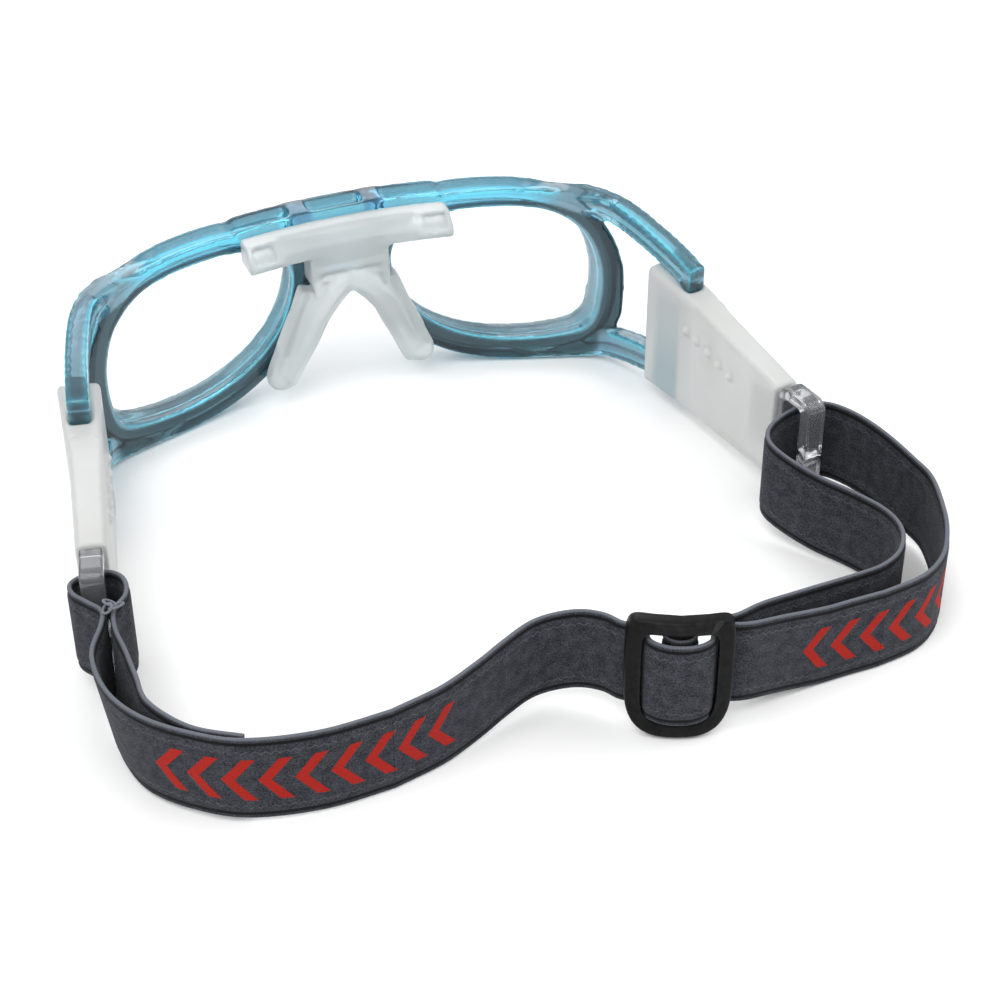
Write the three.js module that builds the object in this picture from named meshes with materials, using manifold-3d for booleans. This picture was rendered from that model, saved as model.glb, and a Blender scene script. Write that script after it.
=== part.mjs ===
// Sports protective goggles: a one-piece wrap frame with two lenses, a soft nose and
// brow pad, soft temple sleeves with rigid strap hooks, and an elastic strap with a
// slider. Millimetres, +Z up. The front faces -Y and the wearer's left is +X. The
// goggles lie on the rims and on the lower edge of the strap.
import * as THREE from "three";
import { mergeVertices } from "three/addons/utils/BufferGeometryUtils.js";
import Module from "manifold-3d";

const wasm = await Module();
wasm.setup();

// ---- driving dimensions --------------------------------------------------

const GAP = 0.35;

const WRAP_DIAMETER = 250;
const FRAME_DEPTH = 8.4;
const RIM_TOP = 5;
const RIM_BOTTOM = 6.6;
const OPENING_HEIGHT = 43;
const CHANNEL_WALL = 1.8;
const CHANNEL_DEPTH = 2.2;
const RIM_STATIONS = 56;
const LENS_GROOVE_DEPTH = 1.2;
const LENS_GROOVE_BACK = 3.1;
const LENS_GROOVE_WIDTH = 2.3;
const LENS_THICKNESS = 1.6;
const LENS_EDGE_IN_GROOVE = 0.8;
const LENS_RING_SCALES = [1, 0.8, 0.6, 0.4, 0.2];

const BRIDGE_HALF = 25;
const BRIDGE_TOP = 48.2;
const BRIDGE_BOTTOM = 44.4;
const BRIDGE_WEB_HALF = 10.5;
const BRIDGE_WEB_BOTTOM = 31;
const BLOCK_OFFSET = 9;
const BLOCK_WIDTH = 5;

const ARM_WIDTH = 5;
const ARM_GROOVE = 0.9;
const PLATE = { inner: 3, outer: 6.4, front: 2, rear: 12.5, bottom: 5, top: 33 };

const TEMPLE_ORIGIN = new THREE.Vector2(65.7, 31.5);
const TEMPLE_SPLAY = THREE.MathUtils.degToRad(12.7);
const SLEEVE_LENGTH = 49.5;
const SLEEVE_FRONT_THICKNESS = 9.5;
const SLEEVE_STEP_THICKNESS = 8;
const SLEEVE_REAR_THICKNESS = 6.5;
const SLEEVE_TOP = { front: 35, rear: 27.8 };
const SLEEVE_BOTTOM = { front: 3, rear: 2.8 };
const FLEX_AT = 16.8;
// The strap holds the right temple's rear length bent in by this much.
const RIGHT_TEMPLE_BEND = THREE.MathUtils.degToRad(4);
const FLEX_RELIEF = 0.9;

const HOOK_WIDTH = 5;
const HOOK_RING = { front: 49.9, rear: 61, bottom: 1.2, top: 28.7 };
const HOOK_GAP = { front: 51.9, rear: 57.6, bottom: 4.2, top: 25.8 };
const HOOK_SLIT = { low: 14.6, high: 15.8, slant: 1.8 };
const TONGUE = { front: 40, bottom: 10, top: 24, thickness: 2.2 };

const STRAP_WIDTH = 20;
const STRAP_THICKNESS = 1.6;
const STRAP_STEP = 3;

const SLIDER = { length: 21.3, height: 29, thickness: 4, corner: 3.5 };
const SLIDER_WINDOW = { length: 14.6, height: 21.6 };
const SLIDER_BAR = { length: 3.2, thickness: 2.2 };
const SLIDER_CENTRE = new THREE.Vector3(-19.5, 145.5, 0.3);
const SLIDER_TURN = THREE.MathUtils.degToRad(157.4);
const SLIDER_STRAP_BASE = 4.5;

// The opening of the wearer's left lens, in x and z, from the nasal side over the top.
const LENS_OPENING = [
  [12.6, 33], [15.5, 39], [25, 42.4], [40, 43.2], [51, 41.3], [57.5, 36], [60.6, 28],
  [60.9, 19], [58.8, 10.6], [52, 7.6], [40, 6.7], [29, 9.4], [20.5, 15], [15, 23],
];

// Arms from the front to the temple: x, y, middle z and height.
const UPPER_ARM = [
  [46, 4.8, 45, 2], [52, 7.6, 44.7, 4.2], [58.5, 9, 43.6, 5.6], [64.5, 15, 42.2, 6], [68.2, 24, 40.2, 6],
  [71.2, 35, 37.8, 6], [73, 43, 35.6, 5.6],
];
const LOWER_ARM = [
  [43, 4.4, 3.2, 2.6], [50, 6.8, 2.9, 5.2], [57, 9.5, 3.6, 6.4], [63.5, 14, 5, 7], [67.2, 22, 6.4, 7], [70.2, 33, 8, 7],
];

// The strap's route on the table: x, y and the height of its lower edge.
const STRAP_LEFT_ROUTE = [
  [-10.7, 138.3, 4.5], [-8.6, 134, 4.3], [-5, 130.7, 3.8], [0, 128.8, 3], [5, 128.6, 2.2],
  [11, 130.6, 1.2], [18, 133.9, 0.5], [27, 137.6, 0], [38, 140.3, 0], [52, 141, 0],
  [66, 138.4, 0], [75, 132.4, 0], [81.5, 124.2, 0], [84.9, 115, 0.5], [85.2, 106, 2],
  [83, 100, 4], [82, 96.5, 4.8], [84, 93, 5], [86.2, 89, 5], [85.6, 85.6, 5],
  [81.5, 84.1, 5], [77.4, 85.2, 5], [75.6, 88.5, 5], [76.4, 93, 4.8], [78.6, 97, 4.4],
  [78, 104, 3], [78.8, 113, 1], [79.2, 121.6, 0], [73.4, 129.8, 0], [65.2, 136.1, 0],
];
const STRAP_RIGHT_ROUTE = [
  [-32, 144.5, 4.5], [-40, 140.6, 2.5], [-50, 138, 0.5], [-62, 137, 0], [-70, 136.2, 0],
  [-76, 133, 0], [-79.9, 127, 0], [-80.2, 120, 0], [-77, 113, 0.5], [-72, 106, 1.5],
  [-68, 99.4, 3], [-66, 94.4, 4.4], [-67.2, 90.6, 4.9], [-70.6, 87.6, 5], [-75.4, 85.4, 5],
  [-80.8, 84.3, 5], [-84.8, 86, 5], [-87.6, 89.8, 4.9], [-89.8, 95, 4.6], [-92, 101, 3.5],
  [-93.8, 107.6, 2], [-94.6, 114.4, 1],
  [-91.8, 124, 0], [-88, 131.5, 0], [-83, 138, 0], [-76, 142.3, 0], [-66, 144, 0],
  [-54, 144.2, 0], [-42, 145.4, 2], [-34, 147, 4], [-30.8, 146.7, 4.5],
];
// Over the slider's centre bar, along the slider and out of its face.
const SLIDER_PANEL_ROUTE = [
  [-10.3, -3.3], [-8, -3.3], [-6.1, -2], [-5.3, -0.2], [-4.6, 1.8], [-2.6, 3.5], [0, 4.1],
  [2.6, 3.5], [4.6, 1.8], [5.3, -0.2], [6.1, -2], [8, -3.3], [10.3, -3.3],
];
const SLIDER_LOOP_RADII = [3.1, 2.3];

const NOSE_ARCH_ROUTE = [
  [-17.4, 2.4, 6.4], [-14.8, 3.8, 12.4], [-11.6, 5, 19], [-8, 5.8, 26.4], [0, 6, 33.8],
];
const NOSE_LEG = { width: 6.9, depth: 8 };
const BROW_BAR = { half: 25, top: 46.6, bottom: 40.6, topDepth: 4.2, bottomDepth: 8.2 };
const PAD_BOX = { half: 9.5, bottom: 32.4, depth: 8.2 };

// ---- materials -----------------------------------------------------------

const finishes = {
  frame: { color: 0x55b9d4, roughness: 0.12, metalness: 0, transparent: true, opacity: 0.65 },
  lens: { color: 0xeaf6fa, roughness: 0.03, metalness: 0, transparent: true, opacity: 0.2 },
  silicone: { color: 0xd4d6d4, roughness: 0.5, metalness: 0 },
  hook: { color: 0xc9ced1, roughness: 0.1, metalness: 0, transparent: true, opacity: 0.5 },
  strap: { color: 0x35373d, roughness: 0.95, metalness: 0 },
  thread: { color: 0x9a9ca2, roughness: 0.8, metalness: 0 },
  slider: { color: 0x101012, roughness: 0.4, metalness: 0 },
};

function namedMesh(name, geometry, finish) {
  const mesh = new THREE.Mesh(geometry, new THREE.MeshStandardMaterial(finishes[finish]));
  mesh.name = name;
  return mesh;
}

// ---- solids --------------------------------------------------------------

function signedVolume(geometry) {
  const { position } = geometry.attributes;
  const corners = [0, 1, 2].map(() => new THREE.Vector3());
  let volume = 0;
  for (let i = 0; i < geometry.index.count; i += 3) {
    corners.forEach((corner, k) => corner.fromBufferAttribute(position, geometry.index.getX(i + k)));
    volume += corners[0].dot(corners[1].clone().cross(corners[2])) / 6;
  }
  return volume;
}

function flipFaces(geometry) {
  const index = Array.from(geometry.index.array);
  for (let i = 0; i < index.length; i += 3) {
    [index[i + 1], index[i + 2]] = [index[i + 2], index[i + 1]];
  }
  geometry.setIndex(index);
  return geometry;
}

function indexedSolid(points, index) {
  const geometry = new THREE.BufferGeometry();
  const position = points.flatMap((p) => [p.x, p.y, p.z]);
  geometry.setAttribute("position", new THREE.Float32BufferAttribute(position, 3));
  geometry.setIndex(index);
  return signedVolume(geometry) < 0 ? flipFaces(geometry) : geometry;
}

// A body through stations of one outline. Each station has an origin, two axes and a
// profile; a closed loop of stations needs no caps.
function loft(stations, closed = false) {
  const count = stations[0].profile.length;
  const points = stations.flatMap(({ origin, u, v, profile }) =>
    profile.map(([a, b]) => origin.clone().addScaledVector(u, a).addScaledVector(v, b)));
  const index = [];
  const spans = closed ? stations.length : stations.length - 1;
  for (let i = 0; i < spans; i++) {
    const near = i * count;
    const far = ((i + 1) % stations.length) * count;
    for (let j = 0; j < count; j++) {
      const k = (j + 1) % count;
      index.push(near + j, far + j, far + k, near + j, far + k, near + k);
    }
  }
  if (!closed) {
    const outline = stations[0].profile.map(([a, b]) => new THREE.Vector2(a, b));
    const last = (stations.length - 1) * count;
    const turned = THREE.ShapeUtils.isClockWise(outline);
    for (const [a, b, c] of THREE.ShapeUtils.triangulateShape(outline, [])) {
      const [p, q] = turned ? [c, b] : [b, c];
      index.push(a, p, q, last + a, last + q, last + p);
    }
  }
  return indexedSolid(points, index);
}

function toManifold(geometry) {
  const bare = geometry.clone();
  bare.deleteAttribute("normal");
  bare.deleteAttribute("uv");
  const merged = mergeVertices(bare, 1e-4);
  return new wasm.Manifold(new wasm.Mesh({
    numProp: 3,
    vertProperties: new Float32Array(merged.attributes.position.array),
    triVerts: new Uint32Array(merged.index.array),
  }));
}

function fromManifold(solid) {
  const { vertProperties, triVerts } = solid.getMesh();
  const geometry = new THREE.BufferGeometry();
  geometry.setAttribute("position", new THREE.BufferAttribute(new Float32Array(vertProperties), 3));
  geometry.setIndex(Array.from(triVerts));
  return geometry;
}

const joined = (geometries) =>
  fromManifold(geometries.map(toManifold).reduce((sum, solid) => sum.add(solid)));

const cut = (geometry, tools) =>
  fromManifold(tools.map(toManifold).reduce((rest, tool) => rest.subtract(tool), toManifold(geometry)));

function mirrored(geometry) {
  const copy = geometry.clone();
  copy.scale(-1, 1, 1);
  return flipFaces(copy);
}

function box(low, high) {
  const size = high.map((value, axis) => value - low[axis]);
  const geometry = new THREE.BoxGeometry(...size);
  geometry.translate(...low.map((value, axis) => value + size[axis] / 2));
  return geometry;
}

const UP = new THREE.Vector3(0, 0, 1);
const BACK = new THREE.Vector3(0, 1, 0);

// ---- frame and lenses ----------------------------------------------------

const wrapAt = (x) => (x * x) / WRAP_DIAMETER;

// Bends a flat front round the face.
function wrapped(geometry) {
  const { position } = geometry.attributes;
  for (let i = 0; i < position.count; i++) {
    position.setY(i, position.getY(i) + wrapAt(position.getX(i)));
  }
  return geometry;
}

const openingCurve = new THREE.CatmullRomCurve3(
  LENS_OPENING.map(([x, z]) => new THREE.Vector3(x, 0, z)), true);

// Points on the lens opening with their outward directions.
function openingStations() {
  return Array.from({ length: RIM_STATIONS }, (_, i) => {
    const t = i / RIM_STATIONS;
    const tangent = openingCurve.getTangentAt(t);
    return { origin: openingCurve.getPointAt(t), outward: new THREE.Vector3(-tangent.z, 0, tangent.x) };
  });
}

// Across the rim: outward from the opening, and back. It holds the lens groove on the
// inside and an open channel on the outside.
function rimProfile(width) {
  const floor = width - CHANNEL_DEPTH;
  const groove = LENS_GROOVE_BACK + LENS_GROOVE_WIDTH;
  return [
    [0, 0], [width - 0.5, 0], [width, -0.5], [width, -CHANNEL_WALL], [floor, -CHANNEL_WALL - 0.6],
    [floor, CHANNEL_WALL + 0.6 - FRAME_DEPTH], [width, CHANNEL_WALL - FRAME_DEPTH],
    [width, 0.5 - FRAME_DEPTH], [width - 0.5, -FRAME_DEPTH], [0, -FRAME_DEPTH], [0, -groove],
    [LENS_GROOVE_DEPTH, -groove], [LENS_GROOVE_DEPTH, -LENS_GROOVE_BACK], [0, -LENS_GROOVE_BACK],
  ];
}

function rim() {
  const stations = openingStations().map(({ origin, outward }) => {
    const width = THREE.MathUtils.lerp(RIM_BOTTOM, RIM_TOP, origin.z / OPENING_HEIGHT);
    return { origin, u: outward, v: BACK, profile: rimProfile(width) };
  });
  return wrapped(loft(stations, true));
}

function lens() {
  const edge = openingStations().map(({ origin, outward }) =>
    origin.clone().addScaledVector(outward, LENS_EDGE_IN_GROOVE));
  const middle = edge.reduce((sum, p) => sum.add(p), new THREE.Vector3()).divideScalar(edge.length);
  const count = edge.length;
  const rings = LENS_RING_SCALES.length;
  const points = [];
  const index = [];
  const backFace = -LENS_GROOVE_BACK - (LENS_GROOVE_WIDTH - LENS_THICKNESS) / 2;
  for (const y of [backFace, backFace - LENS_THICKNESS]) {
    for (const scale of LENS_RING_SCALES) {
      points.push(...edge.map((p) => middle.clone().lerp(p, scale).setY(y)));
    }
    points.push(middle.clone().setY(y));
  }
  const side = rings * count + 1;
  for (let j = 0; j < count; j++) {
    const k = (j + 1) % count;
    for (let ring = 0; ring < rings - 1; ring++) {
      const [a, b, c, d] = [j, k, j + count, k + count].map((i) => i + ring * count);
      index.push(a, c, b, b, c, d, side + a, side + b, side + c, side + b, side + d, side + c);
    }
    const inner = (rings - 1) * count;
    index.push(inner + j, side - 1, inner + k, side + inner + j, side + inner + k, 2 * side - 1);
    index.push(j, k, side + j, k, side + k, side + j);
  }
  return wrapped(indexedSolid(points, index));
}

// The brow part of the channel between the two rims, with its two cross blocks.
function bridge() {
  const rise = BRIDGE_TOP - BRIDGE_BOTTOM;
  const floor = rise - CHANNEL_DEPTH;
  const profile = [
    [0, 0], [0, rise], [-CHANNEL_WALL, rise], [-CHANNEL_WALL - 0.6, floor],
    [CHANNEL_WALL + 0.6 - FRAME_DEPTH, floor], [CHANNEL_WALL - FRAME_DEPTH, rise],
    [-FRAME_DEPTH, rise], [-FRAME_DEPTH, 0],
  ];
  const stations = Array.from({ length: 13 }, (_, i) => {
    const x = THREE.MathUtils.lerp(-BRIDGE_HALF, BRIDGE_HALF, i / 12);
    return { origin: new THREE.Vector3(x, 0, BRIDGE_BOTTOM), u: BACK, v: UP, profile };
  });
  const web = box([-BRIDGE_WEB_HALF, -FRAME_DEPTH + 0.6, BRIDGE_WEB_BOTTOM], [BRIDGE_WEB_HALF, -0.4, BRIDGE_BOTTOM + 0.5]);
  const blocks = [-1, 1].map((side) => {
    const middle = side * BLOCK_OFFSET;
    return box([middle - BLOCK_WIDTH / 2, -FRAME_DEPTH + 1, 45], [middle + BLOCK_WIDTH / 2, -1, BRIDGE_TOP + 0.2]);
  });
  return [wrapped(loft(stations)), web, ...blocks];
}

// A bar with a groove along its outer face, from rows of x, y, middle z and height.
function arm(rows, grow) {
  const path = new THREE.CatmullRomCurve3(rows.map(([x, y]) => new THREE.Vector3(x, y, 0)));
  const shape = new THREE.CatmullRomCurve3(rows.map(([, , z, height]) => new THREE.Vector3(z, height, 0)));
  const steps = (rows.length - 1) * 3;
  const stations = Array.from({ length: steps + 1 }, (_, i) => {
    const t = i / steps;
    const origin = path.getPoint(t);
    const { x: z, y: height } = shape.getPoint(t);
    const tangent = path.getTangent(t);
    const outward = new THREE.Vector3(tangent.y, -tangent.x, 0).normalize();
    const half = ARM_WIDTH / 2 + grow;
    const tall = height / 2 + grow;
    const groove = grow > 0 ? 0 : ARM_GROOVE;
    const profile = [
      [-half, -tall], [half, -tall], [half, -tall / 3], [half - groove, -tall / 5],
      [half - groove, tall / 5], [half, tall / 3], [half, tall], [-half, tall],
    ];
    return { origin: origin.setZ(z), u: outward, v: UP, profile };
  });
  if (grow > 0) {
    const end = stations.at(-1);
    const onward = path.getTangent(1).setZ(0).multiplyScalar(grow);
    end.origin.add(onward);
  }
  return loft(stations);
}

const sidePieces = (grow) => [arm(UPPER_ARM, grow), arm(LOWER_ARM, grow), templeBox(PLATE, grow)];

function frame() {
  const left = [rim(), ...sidePieces(0)];
  return joined([...left, ...left.map(mirrored), ...bridge()]);
}

// ---- temples -------------------------------------------------------------

// Moves a body drawn along +Y, with its inner face at x = 0, onto the left temple.
function onTemple(geometry) {
  geometry.rotateZ(-TEMPLE_SPLAY);
  geometry.translate(TEMPLE_ORIGIN.x, TEMPLE_ORIGIN.y, 0);
  return geometry;
}

function templeBox({ inner, outer, front, rear, bottom, top }, grow) {
  return onTemple(box([inner - grow, front - grow, bottom - grow], [outer + grow, rear + grow, top + grow]));
}

const sleeveThickness = (along) => (along < FLEX_AT + 1
  ? THREE.MathUtils.lerp(SLEEVE_FRONT_THICKNESS, SLEEVE_STEP_THICKNESS, along / FLEX_AT)
  : THREE.MathUtils.lerp(SLEEVE_STEP_THICKNESS, SLEEVE_REAR_THICKNESS, along / SLEEVE_LENGTH));

// A length of the sleeve, with its corners chamfered. The relief slants an end back
// from its middle so that the sleeve can bend there.
function sleevePart(from, to, relief) {
  const section = (along) => {
    const t = along / SLEEVE_LENGTH;
    const thickness = sleeveThickness(along);
    const top = THREE.MathUtils.lerp(SLEEVE_TOP.front, SLEEVE_TOP.rear, t);
    const bottom = THREE.MathUtils.lerp(SLEEVE_BOTTOM.front, SLEEVE_BOTTOM.rear, t);
    return [
      [1, bottom], [thickness - 1, bottom], [thickness, bottom + 1], [thickness, top - 1],
      [thickness - 1, top], [1, top], [0, top - 1], [0, bottom + 1],
    ];
  };
  const steps = 6;
  const stations = Array.from({ length: steps + 1 }, (_, i) => {
    const along = THREE.MathUtils.lerp(from, to, i / steps);
    return {
      origin: new THREE.Vector3(0, along, 0), u: new THREE.Vector3(1, 0, 0), v: UP, profile: section(along),
    };
  });
  const body = loft(stations);
  if (relief === 0) return body;
  const wedges = [-1, 1].map((side) => reliefWedge(from, relief, side));
  return cut(body, wedges);
}

// The corner taken off one side of a sleeve's flexing end.
function reliefWedge(from, relief, side) {
  const middle = SLEEVE_STEP_THICKNESS / 2;
  const far = middle + side * (middle + 2);
  const slope = (relief * (middle + 2)) / middle;
  const shape = new THREE.Shape([
    new THREE.Vector2(middle, from - 1), new THREE.Vector2(middle, from),
    new THREE.Vector2(far, from + slope), new THREE.Vector2(far, from - 1),
  ]);
  const wedge = new THREE.ExtrudeGeometry(shape, { depth: SLEEVE_TOP.front + 4, bevelEnabled: false });
  wedge.translate(0, 0, -2);
  return wedge;
}

const sleeveFront = () =>
  cut(onTemple(sleevePart(0, FLEX_AT - GAP / 2, 0)), sidePieces(GAP));

const tongueBounds = {
  inner: (SLEEVE_REAR_THICKNESS - TONGUE.thickness) / 2,
  outer: (SLEEVE_REAR_THICKNESS + TONGUE.thickness) / 2,
  front: TONGUE.front,
  rear: HOOK_RING.front + 1,
  bottom: TONGUE.bottom,
  top: TONGUE.top,
};

const sleeveRear = () =>
  cut(onTemple(sleevePart(FLEX_AT + GAP / 2, SLEEVE_LENGTH, FLEX_RELIEF)), [templeBox(tongueBounds, GAP)]);

// A split ring: the strap is slipped past the slanted slit in its rear bar.
function hookRing() {
  const corner = 3;
  const { front, rear, bottom, top } = HOOK_RING;
  const { low, high, slant } = HOOK_SLIT;
  const shape = new THREE.Shape();
  shape.moveTo(HOOK_GAP.rear, high);
  shape.lineTo(rear, high - slant);
  shape.lineTo(rear, top - corner);
  shape.absarc(rear - corner, top - corner, corner, 0, Math.PI / 2);
  shape.lineTo(front + corner, top);
  shape.absarc(front + corner, top - corner, corner, Math.PI / 2, Math.PI);
  shape.lineTo(front, bottom + corner);
  shape.absarc(front + corner, bottom + corner, corner, Math.PI, 1.5 * Math.PI);
  shape.lineTo(rear - corner, bottom);
  shape.absarc(rear - corner, bottom + corner, corner, -Math.PI / 2, 0);
  shape.lineTo(rear, low - slant);
  shape.lineTo(HOOK_GAP.rear, low);
  shape.lineTo(HOOK_GAP.rear, HOOK_GAP.bottom);
  shape.lineTo(HOOK_GAP.front, HOOK_GAP.bottom);
  shape.lineTo(HOOK_GAP.front, HOOK_GAP.top);
  shape.lineTo(HOOK_GAP.rear, HOOK_GAP.top);
  const ring = new THREE.ExtrudeGeometry(shape, { depth: HOOK_WIDTH, bevelEnabled: false, curveSegments: 4 });
  ring.rotateX(Math.PI / 2);
  ring.rotateZ(Math.PI / 2);
  ring.translate(SLEEVE_REAR_THICKNESS / 2 - HOOK_WIDTH / 2, 0, 0);
  return onTemple(ring);
}

const hook = () => joined([hookRing(), templeBox(tongueBounds, 0)]);

// Turns a right temple's rear length about its flexing place.
function bentIn(geometry) {
  const pivot = new THREE.Vector2(SLEEVE_STEP_THICKNESS / 2, FLEX_AT);
  pivot.rotateAround(new THREE.Vector2(), -TEMPLE_SPLAY).add(TEMPLE_ORIGIN);
  geometry.translate(pivot.x, -pivot.y, 0);
  geometry.rotateZ(-RIGHT_TEMPLE_BEND);
  geometry.translate(-pivot.x, pivot.y, 0);
  return geometry;
}

function temple(side) {
  const placed = side === "left" ? (geometry) => geometry : mirrored;
  const bent = side === "left" ? placed : (geometry) => bentIn(mirrored(geometry));
  return [
    namedMesh(`${side}_lens`, placed(lens()), "lens"),
    namedMesh(`${side}_sleeve_front`, placed(sleeveFront()), "silicone"),
    namedMesh(`${side}_sleeve_rear`, bent(sleeveRear()), "silicone"),
    namedMesh(`${side}_strap_hook`, bent(hook()), "hook"),
  ];
}

// ---- nose and brow pad ---------------------------------------------------

// The long bar lies along the back of the brow, and its rear face slants down and back.
function browBar() {
  const { half, top, bottom, topDepth, bottomDepth } = BROW_BAR;
  const profile = [[GAP, bottom], [bottomDepth, bottom], [bottomDepth, bottom + 3], [topDepth, top], [GAP, top]];
  const stations = Array.from({ length: 11 }, (_, i) => {
    const x = THREE.MathUtils.lerp(-half, half, i / 10);
    return { origin: new THREE.Vector3(x, 0, 0), u: BACK, v: UP, profile };
  });
  return wrapped(loft(stations));
}

function noseArch() {
  const half = NOSE_ARCH_ROUTE.map((row) => new THREE.Vector3(...row));
  const other = half.slice(0, -1).reverse().map((p) => new THREE.Vector3(-p.x, p.y, p.z));
  const path = new THREE.CatmullRomCurve3([...half, ...other]);
  const steps = 24;
  const stations = Array.from({ length: steps + 1 }, (_, i) => {
    const t = i / steps;
    const tangent = path.getTangent(t);
    const across = new THREE.Vector3(-tangent.z, 0, tangent.x).normalize();
    const w = NOSE_LEG.width / 2;
    const d = NOSE_LEG.depth / 2;
    const profile = [[-w, 1 - d], [1 - w, -d], [w - 1, -d], [w, 1 - d], [w, d - 2], [w - 2, d], [2 - w, d], [-w, d - 2]];
    return { origin: path.getPoint(t), u: across, v: BACK, profile };
  });
  return loft(stations);
}

function noseBrowPad() {
  const centre = box([-PAD_BOX.half, GAP, PAD_BOX.bottom], [PAD_BOX.half, PAD_BOX.depth, BROW_BAR.bottom + 1]);
  const solid = joined([browBar(), centre, noseArch()]);
  const room = box([-30, -20, -5], [30, GAP - 0.05, 60]);
  const rims = [rim(), mirrored(rim())];
  return cut(solid, [room, ...rims.map((geometry) => grownBack(geometry))]);
}

// Room behind a rim, so that the pad keeps clear of it.
function grownBack(geometry) {
  const moved = geometry.clone();
  moved.translate(0, GAP, 0);
  return moved;
}

// ---- strap and slider ----------------------------------------------------

// A flat band standing on its edge along a route of x, y and lower edge height.
function band(route, width, thickness, step, closed = false) {
  const path = new THREE.CatmullRomCurve3(route.map((row) => new THREE.Vector3(...row)), closed);
  const steps = Math.round(path.getLength() / step);
  const half = thickness / 2;
  const profile = [[-half, 0], [half, 0], [half, width], [-half, width]];
  const stations = Array.from({ length: closed ? steps : steps + 1 }, (_, i) => {
    const tangent = path.getTangentAt(i / steps);
    const across = new THREE.Vector3(tangent.y, -tangent.x, 0).normalize();
    const origin = path.getPointAt(i / steps);
    return { origin: origin.setZ(Math.max(origin.z, 0)), u: across, v: UP, profile };
  });
  return loft(stations, closed);
}

// The two sewn joints: a short bar of thread over the strap's edge, from x, y and z.
const threadBar = (x, y, z) => box([x - 0.5, y - 1.2, z], [x + 0.5, y + 1.2, z + 1]);

function sliderFrame() {
  const { length, height, thickness, corner } = SLIDER;
  const outline = new THREE.Shape();
  const [x, z] = [length / 2, height];
  outline.moveTo(corner - x, 0);
  outline.lineTo(x - corner, 0);
  outline.absarc(x - corner, corner, corner, -Math.PI / 2, 0);
  outline.lineTo(x, z - corner);
  outline.absarc(x - corner, z - corner, corner, 0, Math.PI / 2);
  outline.lineTo(corner - x, z);
  outline.absarc(corner - x, z - corner, corner, Math.PI / 2, Math.PI);
  outline.lineTo(-x, corner);
  outline.absarc(corner - x, corner, corner, Math.PI, 1.5 * Math.PI);
  const w = SLIDER_WINDOW.length / 2;
  const low = (height - SLIDER_WINDOW.height) / 2;
  const window = [[-w, low], [-w, height - low], [w, height - low], [w, low]];
  outline.holes.push(new THREE.Path(window.map(([a, b]) => new THREE.Vector2(a, b))));
  const plate = new THREE.ExtrudeGeometry(outline, { depth: thickness, bevelEnabled: false, curveSegments: 5 });
  plate.rotateX(Math.PI / 2);
  plate.translate(0, thickness / 2, 0);
  const bar = box([-SLIDER_BAR.length / 2, -SLIDER_BAR.thickness / 2, low - 1],
    [SLIDER_BAR.length / 2, SLIDER_BAR.thickness / 2, height - low + 1]);
  return joined([plate, bar]);
}

function sliderGroup() {
  const group = new THREE.Group();
  group.position.copy(SLIDER_CENTRE);
  group.rotation.z = SLIDER_TURN;
  const base = SLIDER_STRAP_BASE - SLIDER_CENTRE.z;
  const panelRoute = SLIDER_PANEL_ROUTE.map(([along, out]) => [along, -out, base]);
  const loopRoute = Array.from({ length: 16 }, (_, i) => {
    const angle = (i / 16) * 2 * Math.PI;
    const [long, short] = SLIDER_LOOP_RADII;
    return [long * Math.cos(angle), short * Math.sin(angle), base];
  });
  const loopThickness = 1.1;
  group.add(
    namedMesh("strap_slider", sliderFrame(), "slider"),
    namedMesh("strap_slider_panel", band(panelRoute, STRAP_WIDTH, STRAP_THICKNESS, 1.2), "strap"),
    namedMesh("strap_slider_loop", band(loopRoute, STRAP_WIDTH, loopThickness, 1.1, true), "strap"),
  );
  return group;
}

function strapMeshes() {
  const left = band(STRAP_LEFT_ROUTE, STRAP_WIDTH, STRAP_THICKNESS, STRAP_STEP);
  const right = band(STRAP_RIGHT_ROUTE, STRAP_WIDTH, STRAP_THICKNESS, STRAP_STEP);
  const [tackX, tackY, tackZ] = [80.3, 96.8, 4.7];
  return [
    namedMesh("strap_left", left, "strap"),
    namedMesh("strap_right", right, "strap"),
    namedMesh("left_loop_tack", threadBar(tackX, tackY, tackZ + STRAP_WIDTH + GAP), "thread"),
  ];
}

// ---- assembly ------------------------------------------------------------

const goggles = new THREE.Group();
goggles.add(
  namedMesh("frame", frame(), "frame"),
  namedMesh("nose_brow_pad", noseBrowPad(), "silicone"),
  ...temple("left"),
  ...temple("right"),
  ...strapMeshes(),
  sliderGroup(),
);

// The origin lies at the middle of the footprint, on the table.
goggles.updateMatrixWorld(true);
const bounds = new THREE.Box3().setFromObject(goggles, true);
const middle = bounds.getCenter(new THREE.Vector3());
goggles.position.set(-middle.x, -middle.y, -bounds.min.z);

export default goggles;
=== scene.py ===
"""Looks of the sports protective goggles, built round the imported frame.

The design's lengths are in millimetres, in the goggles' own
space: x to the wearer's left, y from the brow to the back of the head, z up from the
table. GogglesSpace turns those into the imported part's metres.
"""

import logging
import math
from dataclasses import dataclass, field
from enum import Enum
from typing import Callable, Iterable, Sequence

import bmesh
import bpy
from mathutils import Matrix, Vector
from mathutils.kdtree import KDTree


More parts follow.
